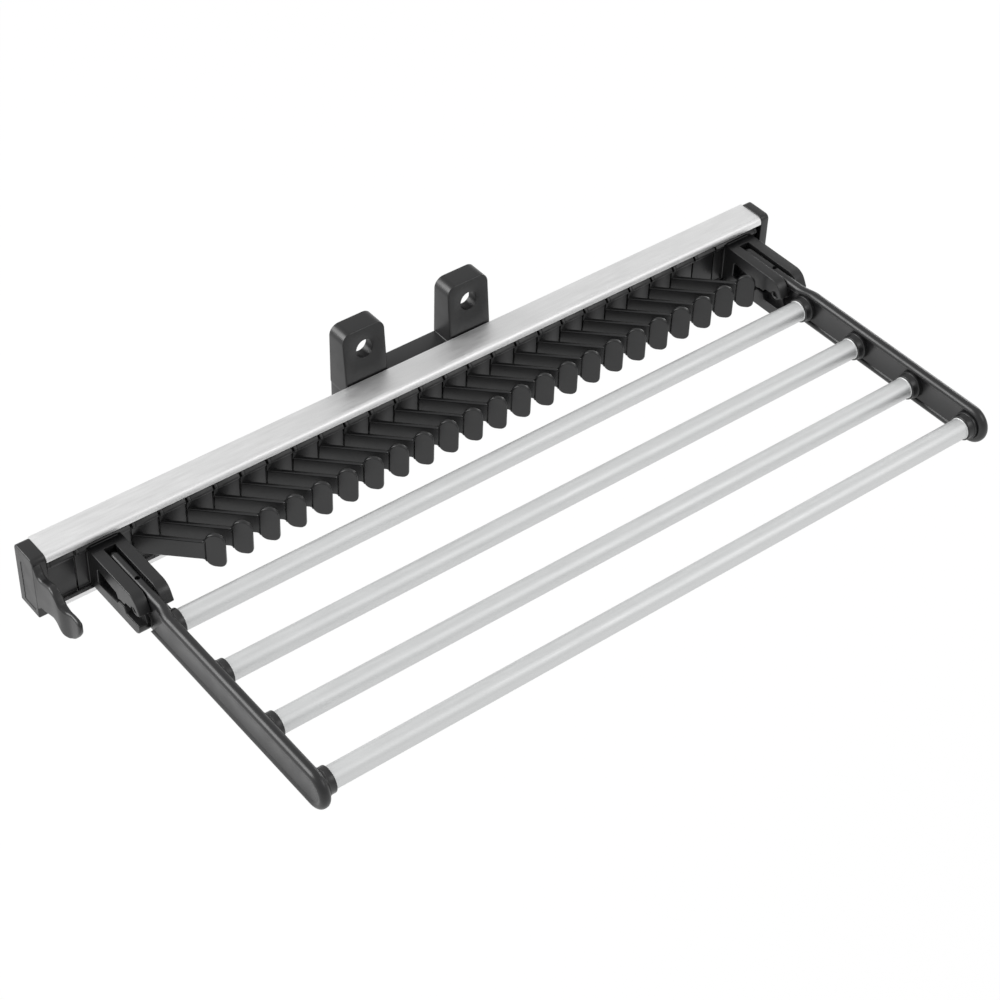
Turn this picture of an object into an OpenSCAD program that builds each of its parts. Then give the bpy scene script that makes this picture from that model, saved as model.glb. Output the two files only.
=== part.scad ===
// Pull out trouser rack for the inside of a wardrobe.
// A wall bracket carries an aluminium rail that slides on it from front to back. The rail holds a row
// of tie hooks and, between two clevises, a frame of four trouser rods that folds up.
// The modules work in the rail's own frame: X runs from the rail's front end to its rear end, Y points
// at the wall from the rail's back face, and Z is zero on the rail's top face. in_part_frame() then
// moves everything, so that the origin is midway between the bracket's bolt holes, at their back ends.

/* [Rail] */
// Height of the extruded rail
rail_h = 37.5; // [36:0.5:44]
// Depth of the rail from its back face to its front lip
rail_d = 18; // [18:0.5:22]
// Wall of the extrusion
rail_wall = 1.6; // [1.2:0.1:2]
// Outer radius of the round along the top front edge
lip_r = 3.2; // [2.6:0.1:4]
// Straight drop of the lip below that round
lip_drop = 1; // [0.6:0.1:2]
// Height of the strip along the bottom front edge
sill_h = 2.5; // [2:0.1:3]
// Height of the channel that the glide shoes run in
channel_h = 21.1; // [18:0.1:22]
// Height of the slot in the rail's back
slot_h = 12.5; // [10:0.5:14]
// Depth of the wall behind the panels, measured from the rail's back face
web_y = 11; // [10:0.5:12]

/* [Panels] */
// Length of rail that one tie hook takes
hook_pitch = 16.5; // [15:0.5:20]
// Number of tie hooks
hook_count = 23; // [6:1:23]
// Blank panel at each end of the row of hooks, in hook pitches
blank_pitches = 1; // [1:1:3]
// Panel that carries a clevis, in hook pitches
clevis_pitches = 2; // [2:1:3]
// Thickness of a panel
panel_t = 2.2; // [1.8:0.1:2.6]
// Dark line between two panels
panel_joint = 0.3; // [0.2:0.05:0.5]
// Radius of the round bead near the top of a panel
bead_r = 1.25; // [0.8:0.05:1.5]
// Drop from the rail's top to the middle of that bead
bead_drop = 6.75; // [6:0.25:8]
// Radius of the fine ledge near the bottom of a panel
ledge_r = 0.6; // [0.4:0.1:0.8]
// Rise of the fine ledge above the rail's lower edge
ledge_rise = 4; // [3.5:0.25:5.5]

/* [Tie hooks] */
// Angle between a hook and the rail, seen from above
hook_angle = 45; // [40:1:50]
// Length of a hook's bar from the panel to its paddle
hook_bar = 36.2; // [24:0.2:38]
// Height of the bar at the panel
hook_bar_h = 12.5; // [9:0.5:13]
// Height of the bar where it meets the paddle
hook_bar_tip_h = 12; // [8:0.2:12.4]
// Thickness of a hook
hook_t = 2.5; // [1.8:0.1:3]
// Drop from the rail's top to the top of the bar
hook_drop = 15.6; // [14:0.1:17]
// Distance from the panel's front joint to the hook's root
hook_inset = 0.4; // [0.2:0.1:2]
// Width of the paddle at the end of a hook
paddle_w = 10.8; // [8:0.2:12]
// Height of the paddle
paddle_h = 22; // [17:0.5:23]
// Rise of the paddle above the bar
paddle_rise = 5.5; // [3:0.5:6]
// Radius of the paddle's lower outer corner
paddle_corner_r = 3.6; // [2:0.1:4]
// Radius of the small swelling where the bar leaves the panel
root_r = 1.8; // [1.4:0.1:2.2]

/* [Clevises] */
// Thickness of each cheek
cheek_t = 6.8; // [6:0.1:7.2]
// Gap between the cheeks
cheek_gap = 6.5; // [6.2:0.1:7]
// Drop from the rail's top to the top of the cheeks
cheek_drop = 8.6; // [8:0.1:9.5]
// Height of the cheeks
cheek_h = 24.6; // [23:0.1:25.5]
// Reach of the nose in front of the rail's back face
nose_reach = 67; // [64:0.5:70]
// Radius of the round nose
nose_r = 11.5; // [10:0.5:11.5]
// Set back of the ledge under the nose
ledge_set_back = 2.25; // [1:0.25:3]
// Radius of the ledge's lower front corner
ledge_corner_r = 4.5; // [2:0.5:5]
// Thickness of the pad that the cheeks stand on
pad_t = 2.2; // [1.5:0.1:3]
// Height of the pad
pad_h = 25.5; // [24:0.5:26]
// Radius of the pad's corners
pad_corner_r = 3; // [1:0.5:4]
// Distance from the rail's back face to the closed end of the slot between the cheeks
throat_y = 22; // [21.5:0.1:23]
// Web that stays behind the pocket in each cheek
cheek_web = 2.3; // [1.8:0.1:3]
// Radius of the ring round the pivot, and of the ring near the rail
ring_r = 4.8; // [4:0.1:5]
// Distance of the ring near the rail from the rail's back face
near_ring_y = 26; // [25:0.2:28]
// Depth of the ring near the rail, and of the ledges beside it, below the outer face of a cheek
ring_depth = 2.2; // [1:0.1:3]

/* [Pivot] */
// Distance from the front of the nose back to the pivot
pivot_set_back = 7; // [6:0.5:9]
// Drop from the rail's top to the pivot
pivot_drop = 17.8; // [17:0.1:18.5]
// Radius of the pivot pin
pin_r = 2.2; // [1.8:0.1:2.6]
// Depth of the pin's ends below the outer faces of the cheeks
pin_recess = 2.5; // [1:0.5:3]

/* [Swing arms] */
// Height of an arm
arm_h = 22.6; // [21:0.1:23.5]
// Thickness of an arm outside the clevis
arm_t = 6.2; // [5.6:0.1:7]
// Radius of the rounded edges of an arm
arm_edge_r = 2.4; // [1:0.1:2.6]
// Thickness of the tail inside the clevis
tail_t = 5.8; // [5.4:0.1:6]
// Sideways step from the tail's middle to the arm's middle
arm_step = 2; // [1.5:0.1:2.4]
// Rim round the flat field of an arm
rim_w = 4.6; // [3.5:0.1:5.5]
// Depth of the field on the outer side
outer_field_d = 0.8; // [0.4:0.1:1]
// Depth of the fields on the inner side
inner_field_d = 1; // [0.4:0.1:1.4]
// Height of the tongue that stops the arm under the bridge of the clevis
tongue_h = 6.2; // [5:0.1:7]
// Thickness of the bridge over the tongue
bridge_h = 5.2; // [4.6:0.1:6]
// Gap between the tip of the tongue and the pad of the clevis
tongue_gap = 0.6; // [0.4:0.05:1]
// Gap in front of the nose, where the full width of an arm starts
arm_gap = 0.8; // [0.6:0.1:2]
// Radius of the small hole in the top of the arm
top_hole_r = 1.3; // [0.8:0.1:1.6]
// Depth of that hole
top_hole_d = 5; // [3:0.5:6]

/* [Trouser rods] */
// Number of trouser rods
rod_count = 4; // [4:1:4]
// Outer radius of a rod
rod_r = 6; // [5:0.25:6.5]
// Wall of a rod
rod_wall = 1; // [0.8:0.1:1.5]
// Distance between the middles of two rods
rod_spacing = 42.5; // [38:0.5:46]
// Distance from the pivot to the first rod
first_rod_gap = 16.2; // [15.5:0.1:19]
// Drop from the rail's top to the rods
rod_drop = 20.9; // [20:0.1:21.5]
// Wall of the socket round the end of a rod
socket_wall = 1.2; // [1:0.1:1.8]
// Length of the socket on the arm's inner face
socket_l = 5.3; // [4:0.1:7]
// Depth that a rod goes into the arm itself
rod_seat = 2.5; // [1.5:0.1:3.5]
// Height of the step round the foot of a socket
foot_step = 0.7; // [0.4:0.1:1.4]
// Length of that step
foot_l = 1.6; // [1:0.1:2.4]

/* [End caps] */
// Thickness of the front cap
front_cap_t = 8.4; // [7:0.1:10]
// Thickness of the rear cap
rear_cap_t = 6; // [4:0.1:8]
// Overhang of the caps over the rail
cap_lip = 0.6; // [0.3:0.1:1.2]
// Radius of the caps' upper corners
cap_corner_r = 3; // [1:0.5:4]
// Length of the plugs that hold a cap in the rail
plug_l = 10; // [8:0.5:14]
// Width of the fine groove on the front cap
groove_w = 0.8; // [0.5:0.1:1]

/* [Pull tab] */
// Reach of the pull tab in front of the rail
tab_reach = 39.6; // [34:0.2:44]
// Height that the tab's outline follows
tab_h = 26; // [24:0.5:28]
// Thickness of the pull tab
tab_t = 5; // [4:0.1:6]
// Drop from the rail's top to the middle of the tab
tab_drop = 18.2; // [17:0.1:19]
// Bend of the tab's round end towards the rail
tab_bend = 2; // [0:1:12]

/* [Wall bracket] */
// Width of the bracket
bracket_w = 97.2; // [90:0.2:104]
// Width of each lug
lug_w = 27.4; // [24:0.2:28]
// Radius of the bolt holes
hole_r = 5.5; // [3:0.25:6]
// Height of the bolt holes above the rail's top
hole_rise = 18.4; // [16:0.2:20]
// Height of the lugs above the rail's top
lug_rise = 31.5; // [30:0.5:35]
// Radius of the lugs' upper corners
lug_corner_r = 6; // [3:0.5:8]
// Gap between the wall and the rail's back face
wall_gap = 16; // [14:0.5:20]
// Thickness of the lugs at their top
lug_t = 12; // [10:0.5:13]
// Depth of the hollow in the back of each lug, which the bolt holes open into
lug_hollow_d = 7; // [4:0.5:8]
// Drop from the rail's top to the top of the bar between the lugs
bar_drop = 3.9; // [2:0.1:6]
// Drop from the rail's top to the bracket's lower edge
bracket_drop = 42; // [38:0.5:50]
// Wall of the bracket round the hollows in its back
bracket_wall = 3.5; // [2.5:0.1:4.5]
// Place of the bracket's middle along the rail when the rack is parked
park_x = 243.5; // [232:0.5:250]

/* [Glide shoes] */
// Length of a glide shoe
shoe_l = 24; // [18:0.5:28]
// Wall at the outer end of a shoe
shoe_end = 3; // [2:0.5:4]
// Thickness of the tongue's head that the shoes sit on
head_t = 4; // [3:0.1:4.6]
// Height of that head
head_h = 16.5; // [15.5:0.1:17]
// Wall of a shoe behind the head
shoe_lip = 1.7; // [1.4:0.1:2]

/* [Fits] */
// Clearance of the glide shoes in their channel
shoe_clear = 0.15; // [0.1:0.05:0.3]
// Radial clearance of the pivot pin in the arm
pin_clear = 0.05; // [0.02:0.01:0.1]
// Clearance of plugs and panels in the rail
plug_clear = 0.1; // [0.05:0.05:0.2]
// Gap between the bracket and the back of the rail
bracket_clear = 1; // [0.6:0.1:1.5]
// Gap above and below the bracket's neck in the rail's slot
neck_clear = 0.45; // [0.3:0.05:0.8]

/* [Hidden] */
$fn = 64;
overrun = 1;
front_x = clevis_pitches / 2 * hook_pitch + blank_pitches * hook_pitch;
first_hook_x = (blank_pitches + clevis_pitches) * hook_pitch;
rear_blank_x = first_hook_x + hook_count * hook_pitch;
rear_clevis_x = rear_blank_x + blank_pitches * hook_pitch;
rail_l = rear_clevis_x + clevis_pitches * hook_pitch;
rear_x = rail_l - clevis_pitches / 2 * hook_pitch;
channel_z = -rail_h / 2;
slot_top = channel_z + slot_h / 2;
channel_top = channel_z + channel_h / 2;
panel_face_y = -web_y - rail_wall - panel_t;
panel_h = rail_h - 2 * (rail_wall + plug_clear);
clevis_w = 2 * cheek_t + cheek_gap;
pivot_y = nose_reach - pivot_set_back;
first_rod_y = pivot_y + first_rod_gap;
pad_y = panel_face_y - pad_t;
ledge_y = nose_reach - ledge_set_back;
cheek_foot = cheek_drop + cheek_h;
bridge_drop = cheek_drop + bridge_h;
tongue_reach = norm([pivot_y + pad_y, pivot_drop - bridge_drop]) - tongue_gap;
arm_top = arm_h / 2 - rod_drop;
tip_y = first_rod_y + (rod_count - 1) * rod_spacing;
field_h = arm_h - 2 * rim_w;
socket_r = rod_r + socket_wall;
head_y = -rail_wall - shoe_clear - shoe_lip;
bracket_x = park_x - bracket_w / 2;
neck_z = slot_h / 2 - neck_clear;
lug_offset = (bracket_w - lug_w) / 2;
paddle_middle = hook_bar + paddle_w / 2;
tab_web_shares = [
    [-0.03, 0.65], [0.03, 0.56], [0.07, 0.43], [0.16, 0.41], [0.37, 0.5], [0.47, 0.46], [0.55, 0.39], [0.58, 0.25],
    [0.58, -0.37], [0.53, -0.29], [0.42, -0.27], [0.22, -0.37], [0.09, -0.41], [0.01, -0.52], [-0.03, -0.6]
];
tab_lobe_shares = [
    [0.58, 0.25], [0.7, 0.22], [0.83, 0.24], [0.95, 0.23], [1, 0.14], [0.98, 0], [0.93, -0.19], [0.81, -0.39],
    [0.7, -0.48], [0.6, -0.47], [0.58, -0.37]
];
groove_shares = [0.28, 0.83, 0.6];
HOOKS = [for (k = [1:hook_count]) str("tie_hook_", k < 10 ? "0" : "", k)];
RODS = [for (k = [1:rod_count]) str("trouser_rod_", k)];

// Moves the rail's frame to the part's frame
module in_part_frame() {
    translate([-park_x, lug_hollow_d - wall_gap, -hole_rise]) children();
}

// Extrudes an outline, drawn with Y across and Z up, along X
module along_rail(x, length) {
    translate([x, 0, 0]) rotate([90, 0, 90]) linear_extrude(length) children();
}

// Mirrors what is drawn at the front end, so that the front place lands on the rear place
module mirror_x(front_place, rear_place) {
    translate([front_place + rear_place, 0, 0]) mirror([1, 0, 0]) children();
}

// Flat rectangle with round corners, centred
module round_rect(w, h, r) {
    square([w - 2 * r, h], center = true);
    square([w, h - 2 * r], center = true);
    for (sx = [-1, 1], sy = [-1, 1]) translate([sx * (w / 2 - r), sy * (h / 2 - r)]) circle(r);
}

// Flat rectangle between two corners
module box_2d(a, b) {
    translate([min(a.x, b.x), min(a.y, b.y)]) square([abs(a.x - b.x), abs(a.y - b.y)]);
}

// Solid box between two corners
module box_3d(a, b) {
    translate([min(a.x, b.x), min(a.y, b.y), min(a.z, b.z)])
        cube([abs(a.x - b.x), abs(a.y - b.y), abs(a.z - b.z)]);
}

// Section of the rail: a closed back with a slotted channel, and an open front for the panels
module rail_section() {
    round_y = lip_r - rail_d;
    box_2d([round_y, -rail_wall], [0, 0]);
    intersection() {
        translate([round_y, -lip_r]) difference() {
            circle(lip_r);
            circle(lip_r - rail_wall);
        }
        box_2d([-rail_d, -lip_r], [round_y, 0]);
    }
    box_2d([-rail_d, -lip_r - lip_drop], [-rail_d + rail_wall, -lip_r]);
    box_2d([-rail_d, -rail_h], [0, rail_wall - rail_h]);
    box_2d([-rail_d, -rail_h], [-rail_d + rail_wall, sill_h - rail_h]);
    box_2d([-rail_wall, slot_top], [0, 0]);
    box_2d([-rail_wall, -rail_h], [0, slot_top - slot_h]);
    box_2d([-web_y - rail_wall, -rail_h], [-web_y, 0]);
    box_2d([-web_y, channel_top], [0, channel_top + rail_wall]);
    box_2d([-web_y, channel_top - channel_h - rail_wall], [0, channel_top - channel_h]);
}

module rail_profile() {
    color("#D8D9DA") in_part_frame() along_rail(0, rail_l) rail_section();
}

// Plain panel with its bead and fine ledge, seated in the open front of the rail
module panel(x, width) {
    start = x + panel_joint / 2;
    length = width - panel_joint;
    along_rail(start, length) {
        box_2d([panel_face_y, -rail_wall - plug_clear - panel_h], [-web_y - rail_wall, -rail_wall - plug_clear]);
        translate([panel_face_y, -bead_drop]) circle(bead_r);
        translate([panel_face_y, ledge_rise - rail_h]) circle(ledge_r);
    }
}

module front_blank_panel() {
    color("#2B2C2E") in_part_frame() panel(0, blank_pitches * hook_pitch);
}

module rear_blank_panel() {
    color("#2B2C2E") in_part_frame() panel(rear_blank_x, blank_pitches * hook_pitch);
}

// Outline of a hook, drawn with its length across and Z up
module hook_outline() {
    foot = panel_t / 2;
    paddle_top = paddle_rise - hook_drop;
    polygon([
        [-foot, -hook_drop],
        [paddle_middle, -hook_drop],
        [paddle_middle, -hook_drop - hook_bar_tip_h],
        [-foot, -hook_drop - hook_bar_h]
    ]);
    translate([paddle_middle, paddle_top - paddle_h]) {
        for (up = [paddle_w / 2, paddle_h - paddle_w / 2]) translate([0, up]) circle(paddle_w / 2);
        box_2d([-paddle_w / 2, paddle_w / 2], [paddle_w / 2, paddle_h - paddle_w / 2]);
        box_2d([0, 0], [paddle_w / 2 - paddle_corner_r, paddle_w / 2]);
        box_2d([0, paddle_corner_r], [paddle_w / 2, paddle_w / 2]);
        translate([paddle_w / 2 - paddle_corner_r, paddle_corner_r]) circle(paddle_corner_r);
    }
}

// Tie hook number k, counted from the front end of the rail
module tie_hook(k) {
    x = first_hook_x + (k - 1) * hook_pitch;
    color("#2F3032") in_part_frame() {
        panel(x, hook_pitch);
        translate([x + hook_inset + hook_t / sin(hook_angle) / 2, panel_face_y, 0])
            rotate([0, 0, -hook_angle])
                translate([0, hook_t / 2, 0]) rotate([90, 0, 0]) linear_extrude(hook_t) hook_outline();
        translate([x + hook_inset + root_r, panel_face_y + panel_t / 2 - root_r, -hook_drop - hook_bar_h])
            cylinder(h = hook_bar_h - root_r, r = root_r);
    }
}

// Side outline of a cheek
module cheek_outline() {
    box_2d([-ledge_y, ledge_corner_r - cheek_foot], [pad_y, -cheek_drop - nose_r]);
    box_2d([ledge_corner_r - ledge_y, -cheek_foot], [pad_y, -cheek_drop - nose_r]);
    translate([ledge_corner_r - ledge_y, ledge_corner_r - cheek_foot]) circle(ledge_corner_r);
    box_2d([nose_r - nose_reach, -cheek_drop - nose_r], [pad_y, -cheek_drop]);
    intersection() {
        translate([nose_r - nose_reach, -cheek_drop - nose_r]) circle(nose_r);
        box_2d([-nose_reach, -cheek_drop - nose_r], [nose_r - nose_reach, -cheek_drop]);
    }
}

// Outline of the pocket in the outer face of a cheek: deep towards the rail, a slit under the nose
module cheek_pocket() {
    slit_h = cheek_t / 2;
    ledge_top = pivot_drop + cheek_t;
    shoulder_y = pivot_y - 2 * cheek_t;
    box_2d([-shoulder_y, -ledge_top], [-near_ring_y, -cheek_drop - cheek_t]);
    box_2d([-nose_reach - overrun, -ledge_top], [-shoulder_y, slit_h - ledge_top]);
}

// One cheek between two planes across X, with its pocket on the side of the lower plane
module cheek(x) {
    difference() {
        union() {
            difference() {
                along_rail(x, cheek_t) cheek_outline();
                along_rail(x - overrun, cheek_t - cheek_web + overrun) cheek_pocket();
            }
            along_rail(x, cheek_t) translate([-pivot_y, -pivot_drop]) circle(ring_r);
            along_rail(x + ring_depth, cheek_t - ring_depth) translate([-near_ring_y, -rod_drop]) circle(ring_r);
        }
        along_rail(x - overrun, cheek_t + 2 * overrun) translate([-pivot_y, -pivot_drop]) circle(pin_r);
    }
}

// Clevis for the front end: panel, pad, two cheeks and the bridge that the arm's tongue rests under
module clevis() {
    x = front_x - clevis_w / 2;
    panel(front_x - clevis_pitches / 2 * hook_pitch, clevis_pitches * hook_pitch);
    translate([front_x, panel_face_y, -cheek_drop - pad_h / 2])
        rotate([90, 0, 0]) linear_extrude(pad_t) round_rect(clevis_w, pad_h, pad_corner_r);
    cheek(x);
    translate([2 * front_x, 0, 0]) mirror([1, 0, 0]) cheek(x);
    box_3d([x, -throat_y, -bridge_drop], [x + clevis_w, panel_face_y, -cheek_drop]);
}

module front_clevis() {
    color("#303133") in_part_frame() clevis();
}

module rear_clevis() {
    color("#303133") in_part_frame() mirror_x(front_x, rear_x) clevis();
}

// Pivot pin at the front end, sunk into both cheeks
module pivot_pin() {
    length = clevis_w - 2 * pin_recess;
    translate([front_x - length / 2, -pivot_y, -pivot_drop]) rotate([0, 90, 0]) cylinder(h = length, r = pin_r);
}

module front_pivot_pin() {
    color("#9A9C9E") in_part_frame() pivot_pin();
}

module rear_pivot_pin() {
    color("#9A9C9E") in_part_frame() mirror_x(front_x, rear_x) pivot_pin();
}

// Section of the part of an arm outside the clevis, drawn with X across and Z up
module blade_section() {
    round_rect(arm_t, arm_h, arm_edge_r);
}

// Part of an arm outside the clevis: it starts with a slanted face and has a round tip
module blade(x) {
    start_top = pivot_y + nose_r + arm_gap;
    start_foot = ledge_y + arm_gap;
    intersection() {
        translate([x, -start_foot, -rod_drop]) rotate([90, 0, 0])
            linear_extrude(tip_y - start_foot) blade_section();
        along_rail(x - arm_t, 2 * arm_t)
            polygon([
                [-start_top, arm_top],
                [-tip_y - overrun, arm_top],
                [-tip_y - overrun, arm_top - arm_h],
                [-start_foot, arm_top - arm_h]
            ]);
    }
    translate([x, -tip_y, -rod_drop]) rotate([180, -90, 0]) rotate_extrude(angle = 180)
        rotate([0, 0, 90]) intersection() {
            blade_section();
            box_2d([-arm_t, -arm_h], [arm_t, 0]);
        }
}

// Side outline of an arm's tail, with the tongue that stops it
module tail_outline() {
    tail_end = throat_y + ledge_set_back;
    corner_r = rim_w / 2;
    box_2d([-first_rod_y, arm_top - arm_h / 2], [-tail_end - corner_r, arm_top]);
    box_2d([-first_rod_y, arm_top - arm_h / 2], [-tail_end, arm_top - corner_r]);
    translate([-tail_end - corner_r, arm_top - corner_r]) circle(corner_r);
    box_2d([-first_rod_y, arm_top - arm_h], [-tail_end - arm_h / 2, arm_top - arm_h / 2]);
    translate([-tail_end - arm_h / 2, arm_top - arm_h / 2]) circle(arm_h / 2);
    box_2d([-tail_end - arm_h / 2, -bridge_drop - tongue_h], [tongue_reach - pivot_y, -bridge_drop]);
}

// Flat field on an arm from one place to another, with a round end at the tip
module field_outline(from_y, to_y, round_tip) {
    box_2d([-to_y, -rod_drop - field_h / 2], [-from_y, field_h / 2 - rod_drop]);
    if (round_tip) translate([-to_y, -rod_drop]) circle(field_h / 2);
}

// Swing arm of the front end: its tail turns in the clevis, its blade holds the rods
module arm() {
    tail_x = front_x - tail_t / 2;
    blade_x = front_x - arm_step - arm_t / 2;
    inner_x = blade_x + arm_t;
    field_start = pivot_y + nose_r + rim_w;
    difference() {
        union() {
            along_rail(tail_x, tail_t) tail_outline();
            blade(blade_x + arm_t / 2);
        }
        along_rail(blade_x - overrun, outer_field_d + overrun) field_outline(field_start, tip_y, true);
        for (k = [1:rod_count - 1])
            along_rail(inner_x - inner_field_d, inner_field_d + overrun)
                field_outline(
                    first_rod_y + (k - 1) * rod_spacing + socket_r + rim_w,
                    first_rod_y + k * rod_spacing - socket_r - rim_w,
                    false
                );
        rod_bores(inner_x - rod_seat);
        along_rail(tail_x - overrun, tail_t + 2 * overrun)
            translate([-pivot_y, -pivot_drop]) circle(pin_r + pin_clear);
        translate([front_x, nose_r - pivot_y, arm_top - top_hole_d])
            cylinder(h = top_hole_d + overrun, r = top_hole_r);
    }
    difference() {
        for (k = [0:rod_count - 1]) translate([inner_x, -first_rod_y - k * rod_spacing, -rod_drop])
            rotate([0, 90, 0]) {
                cylinder(h = socket_l, r = socket_r);
                cylinder(h = foot_l, r = socket_r + foot_step);
            }
        rod_bores(inner_x - rod_seat);
    }
}

// Bores that the rods' ends are pressed into
module rod_bores(x) {
    for (k = [0:rod_count - 1]) translate([x, -first_rod_y - k * rod_spacing, -rod_drop])
        rotate([0, 90, 0]) cylinder(h = rod_seat + socket_l + overrun, r = rod_r);
}

module front_arm() {
    color("#3A3B3D") in_part_frame() arm();
}

module rear_arm() {
    color("#3A3B3D") in_part_frame() mirror_x(front_x, rear_x) arm();
}

// Trouser rod number k, counted from the rail
module trouser_rod(k) {
    x = front_x - arm_step + arm_t / 2 - rod_seat;
    length = front_x + rear_x - 2 * x;
    color("#DCDDDE") in_part_frame()
        translate([x, -first_rod_y - (k - 1) * rod_spacing, -rod_drop]) rotate([0, 90, 0])
            difference() {
                cylinder(h = length, r = rod_r);
                translate([0, 0, -overrun]) cylinder(h = length + 2 * overrun, r = rod_r - rod_wall);
            }
}

// Face of an end cap, drawn with Y across and Z up
module cap_outline() {
    top = cap_lip;
    foot = -rail_h - cap_lip;
    front = -rail_d - plug_clear;
    box_2d([front, foot], [0, top - cap_corner_r]);
    box_2d([front + cap_corner_r, foot], [-cap_corner_r, top]);
    for (y = [front + cap_corner_r, -cap_corner_r]) translate([y, top - cap_corner_r]) circle(cap_corner_r);
}

// Plugs that hold a cap in the rail's chambers, the middle one also stops the glide shoes
module cap_plugs() {
    wide = web_y - rail_wall - 2 * plug_clear;
    upper_h = -channel_top - 2 * rail_wall;
    along_rail(0, plug_l) {
        translate([-rail_wall - plug_clear - wide / 2, -rail_wall - upper_h / 2])
            square([wide, upper_h - 2 * plug_clear], center = true);
        translate([-rail_wall - plug_clear - wide / 2, channel_z])
            square([wide, channel_h - 2 * plug_clear], center = true);
        translate([-rail_wall - plug_clear - wide / 2, rail_wall + upper_h / 2 - rail_h])
            square([wide, upper_h - 2 * plug_clear], center = true);
    }
}

// Points of the pull tab's outline, from its shares
function tab_points(shares) = [for (p = shares) [-rail_d - p.x * tab_reach, -tab_drop + p.y * tab_h]];

// Pull tab: a web on the cap, and a round end that bends back past the neck
module pull_tab() {
    neck_y = -rail_d - tab_lobe_shares[0].x * tab_reach;
    along_rail(-front_cap_t, tab_t) polygon(tab_points(tab_web_shares));
    translate([-front_cap_t, neck_y, 0]) rotate([0, 0, tab_bend]) translate([front_cap_t, -neck_y, 0])
        along_rail(-front_cap_t, tab_t) polygon(tab_points(tab_lobe_shares));
    translate([-front_cap_t, neck_y, -tab_drop + tab_lobe_shares[10].y * tab_h])
        intersection() {
            cylinder(h = (tab_lobe_shares[0].y - tab_lobe_shares[10].y) * tab_h, r = tab_t);
            translate([0, -tab_t, 0]) cube([tab_t, 2 * tab_t, tab_h]);
        }
}

module front_end_cap() {
    groove_y = -rail_d * groove_shares[0];
    groove_foot = -tab_drop - tab_h * groove_shares[2];
    color("#3C3D3F") in_part_frame() {
        difference() {
            along_rail(-front_cap_t, front_cap_t) cap_outline();
            box_3d([-front_cap_t - overrun, groove_y - groove_w, groove_foot],
                [-front_cap_t + groove_w, groove_y, -cheek_drop]);
            box_3d([-front_cap_t - overrun, -rail_d * groove_shares[1], groove_foot],
                [-front_cap_t + groove_w, groove_y, groove_foot + groove_w]);
        }
        pull_tab();
        cap_plugs();
    }
}

module rear_end_cap() {
    color("#3C3D3F") in_part_frame() mirror_x(0, rail_l) {
        along_rail(-rear_cap_t, rear_cap_t) cap_outline();
        cap_plugs();
    }
}

// Side outline of the bracket: flat on the wall, its front leans back above the rail
module bracket_outline() {
    polygon([
        [wall_gap, -bracket_drop],
        [wall_gap, lug_rise],
        [wall_gap - lug_t, lug_rise],
        [bracket_clear, 0],
        [bracket_clear, -bracket_drop]
    ]);
}

// Front outline of the bracket, drawn with X across and Z up: two lugs on a plate
module bracket_face() {
    for (side = [-1, 1]) translate([park_x + side * lug_offset, 0]) {
        box_2d([-lug_w / 2, -bracket_drop], [lug_w / 2, lug_rise - lug_corner_r]);
        box_2d([lug_corner_r - lug_w / 2, 0], [lug_w / 2 - lug_corner_r, lug_rise]);
        for (edge = [-1, 1]) translate([edge * (lug_w / 2 - lug_corner_r), lug_rise - lug_corner_r])
            circle(lug_corner_r);
    }
    box_2d([bracket_x, -bracket_drop], [bracket_x + bracket_w, -bar_drop]);
}

module wall_bracket() {
    hollow_w = (bracket_w - 3 * bracket_wall) / 2;
    lug_hollow_w = lug_w - 2 * bracket_wall;
    head_x = bracket_x + shoe_end;
    color("#333436") in_part_frame() difference() {
        union() {
            intersection() {
                along_rail(bracket_x, bracket_w) bracket_outline();
                translate([0, wall_gap + overrun, 0]) rotate([90, 0, 0])
                    linear_extrude(wall_gap + 2 * overrun) bracket_face();
            }
            box_3d([head_x, head_y - head_t, channel_z - head_h / 2],
                [head_x + bracket_w - 2 * shoe_end, head_y, channel_z + head_h / 2]);
            box_3d([head_x, head_y, channel_z - neck_z],
                [head_x + bracket_w - 2 * shoe_end, bracket_clear, channel_z + neck_z]);
        }
        for (side = [-1, 1]) translate([park_x + side * lug_offset, -overrun, hole_rise])
            rotate([-90, 0, 0]) cylinder(h = wall_gap + 2 * overrun, r = hole_r);
        for (side = [-1, 1]) translate([park_x + side * lug_offset, 0, 0])
            box_3d([-lug_hollow_w / 2, wall_gap - lug_hollow_d, bracket_wall],
                [lug_hollow_w / 2, wall_gap + overrun, lug_rise - bracket_wall]);
        for (side = [0, 1])
            box_3d(
                [bracket_x + bracket_wall + side * (hollow_w + bracket_wall), bracket_clear + bracket_wall,
                 bracket_wall - bracket_drop],
                [bracket_x + (side + 1) * (hollow_w + bracket_wall), wall_gap + overrun,
                 -bar_drop - bracket_wall]
            );
    }
}

// Glide shoe for the front end of the bracket's tongue
module glide_shoe() {
    shoe_y = -rail_wall - shoe_clear;
    shoe_d = web_y - rail_wall - 2 * shoe_clear;
    difference() {
        box_3d([bracket_x, shoe_y - shoe_d, channel_top - channel_h + 2 * shoe_clear],
            [bracket_x + shoe_l, shoe_y, channel_top]);
        box_3d([bracket_x + shoe_end, head_y - head_t, channel_z - head_h / 2],
            [bracket_x + shoe_l + overrun, head_y, channel_z + head_h / 2]);
        box_3d([bracket_x + shoe_end, head_y, channel_z - neck_z],
            [bracket_x + shoe_l + overrun, shoe_y + overrun, channel_z + neck_z]);
    }
}

module front_glide_shoe() {
    color("#E6E4DC") in_part_frame() glide_shoe();
}

module rear_glide_shoe() {
    color("#E6E4DC") in_part_frame() mirror_x(park_x, park_x) glide_shoe();
}

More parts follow.
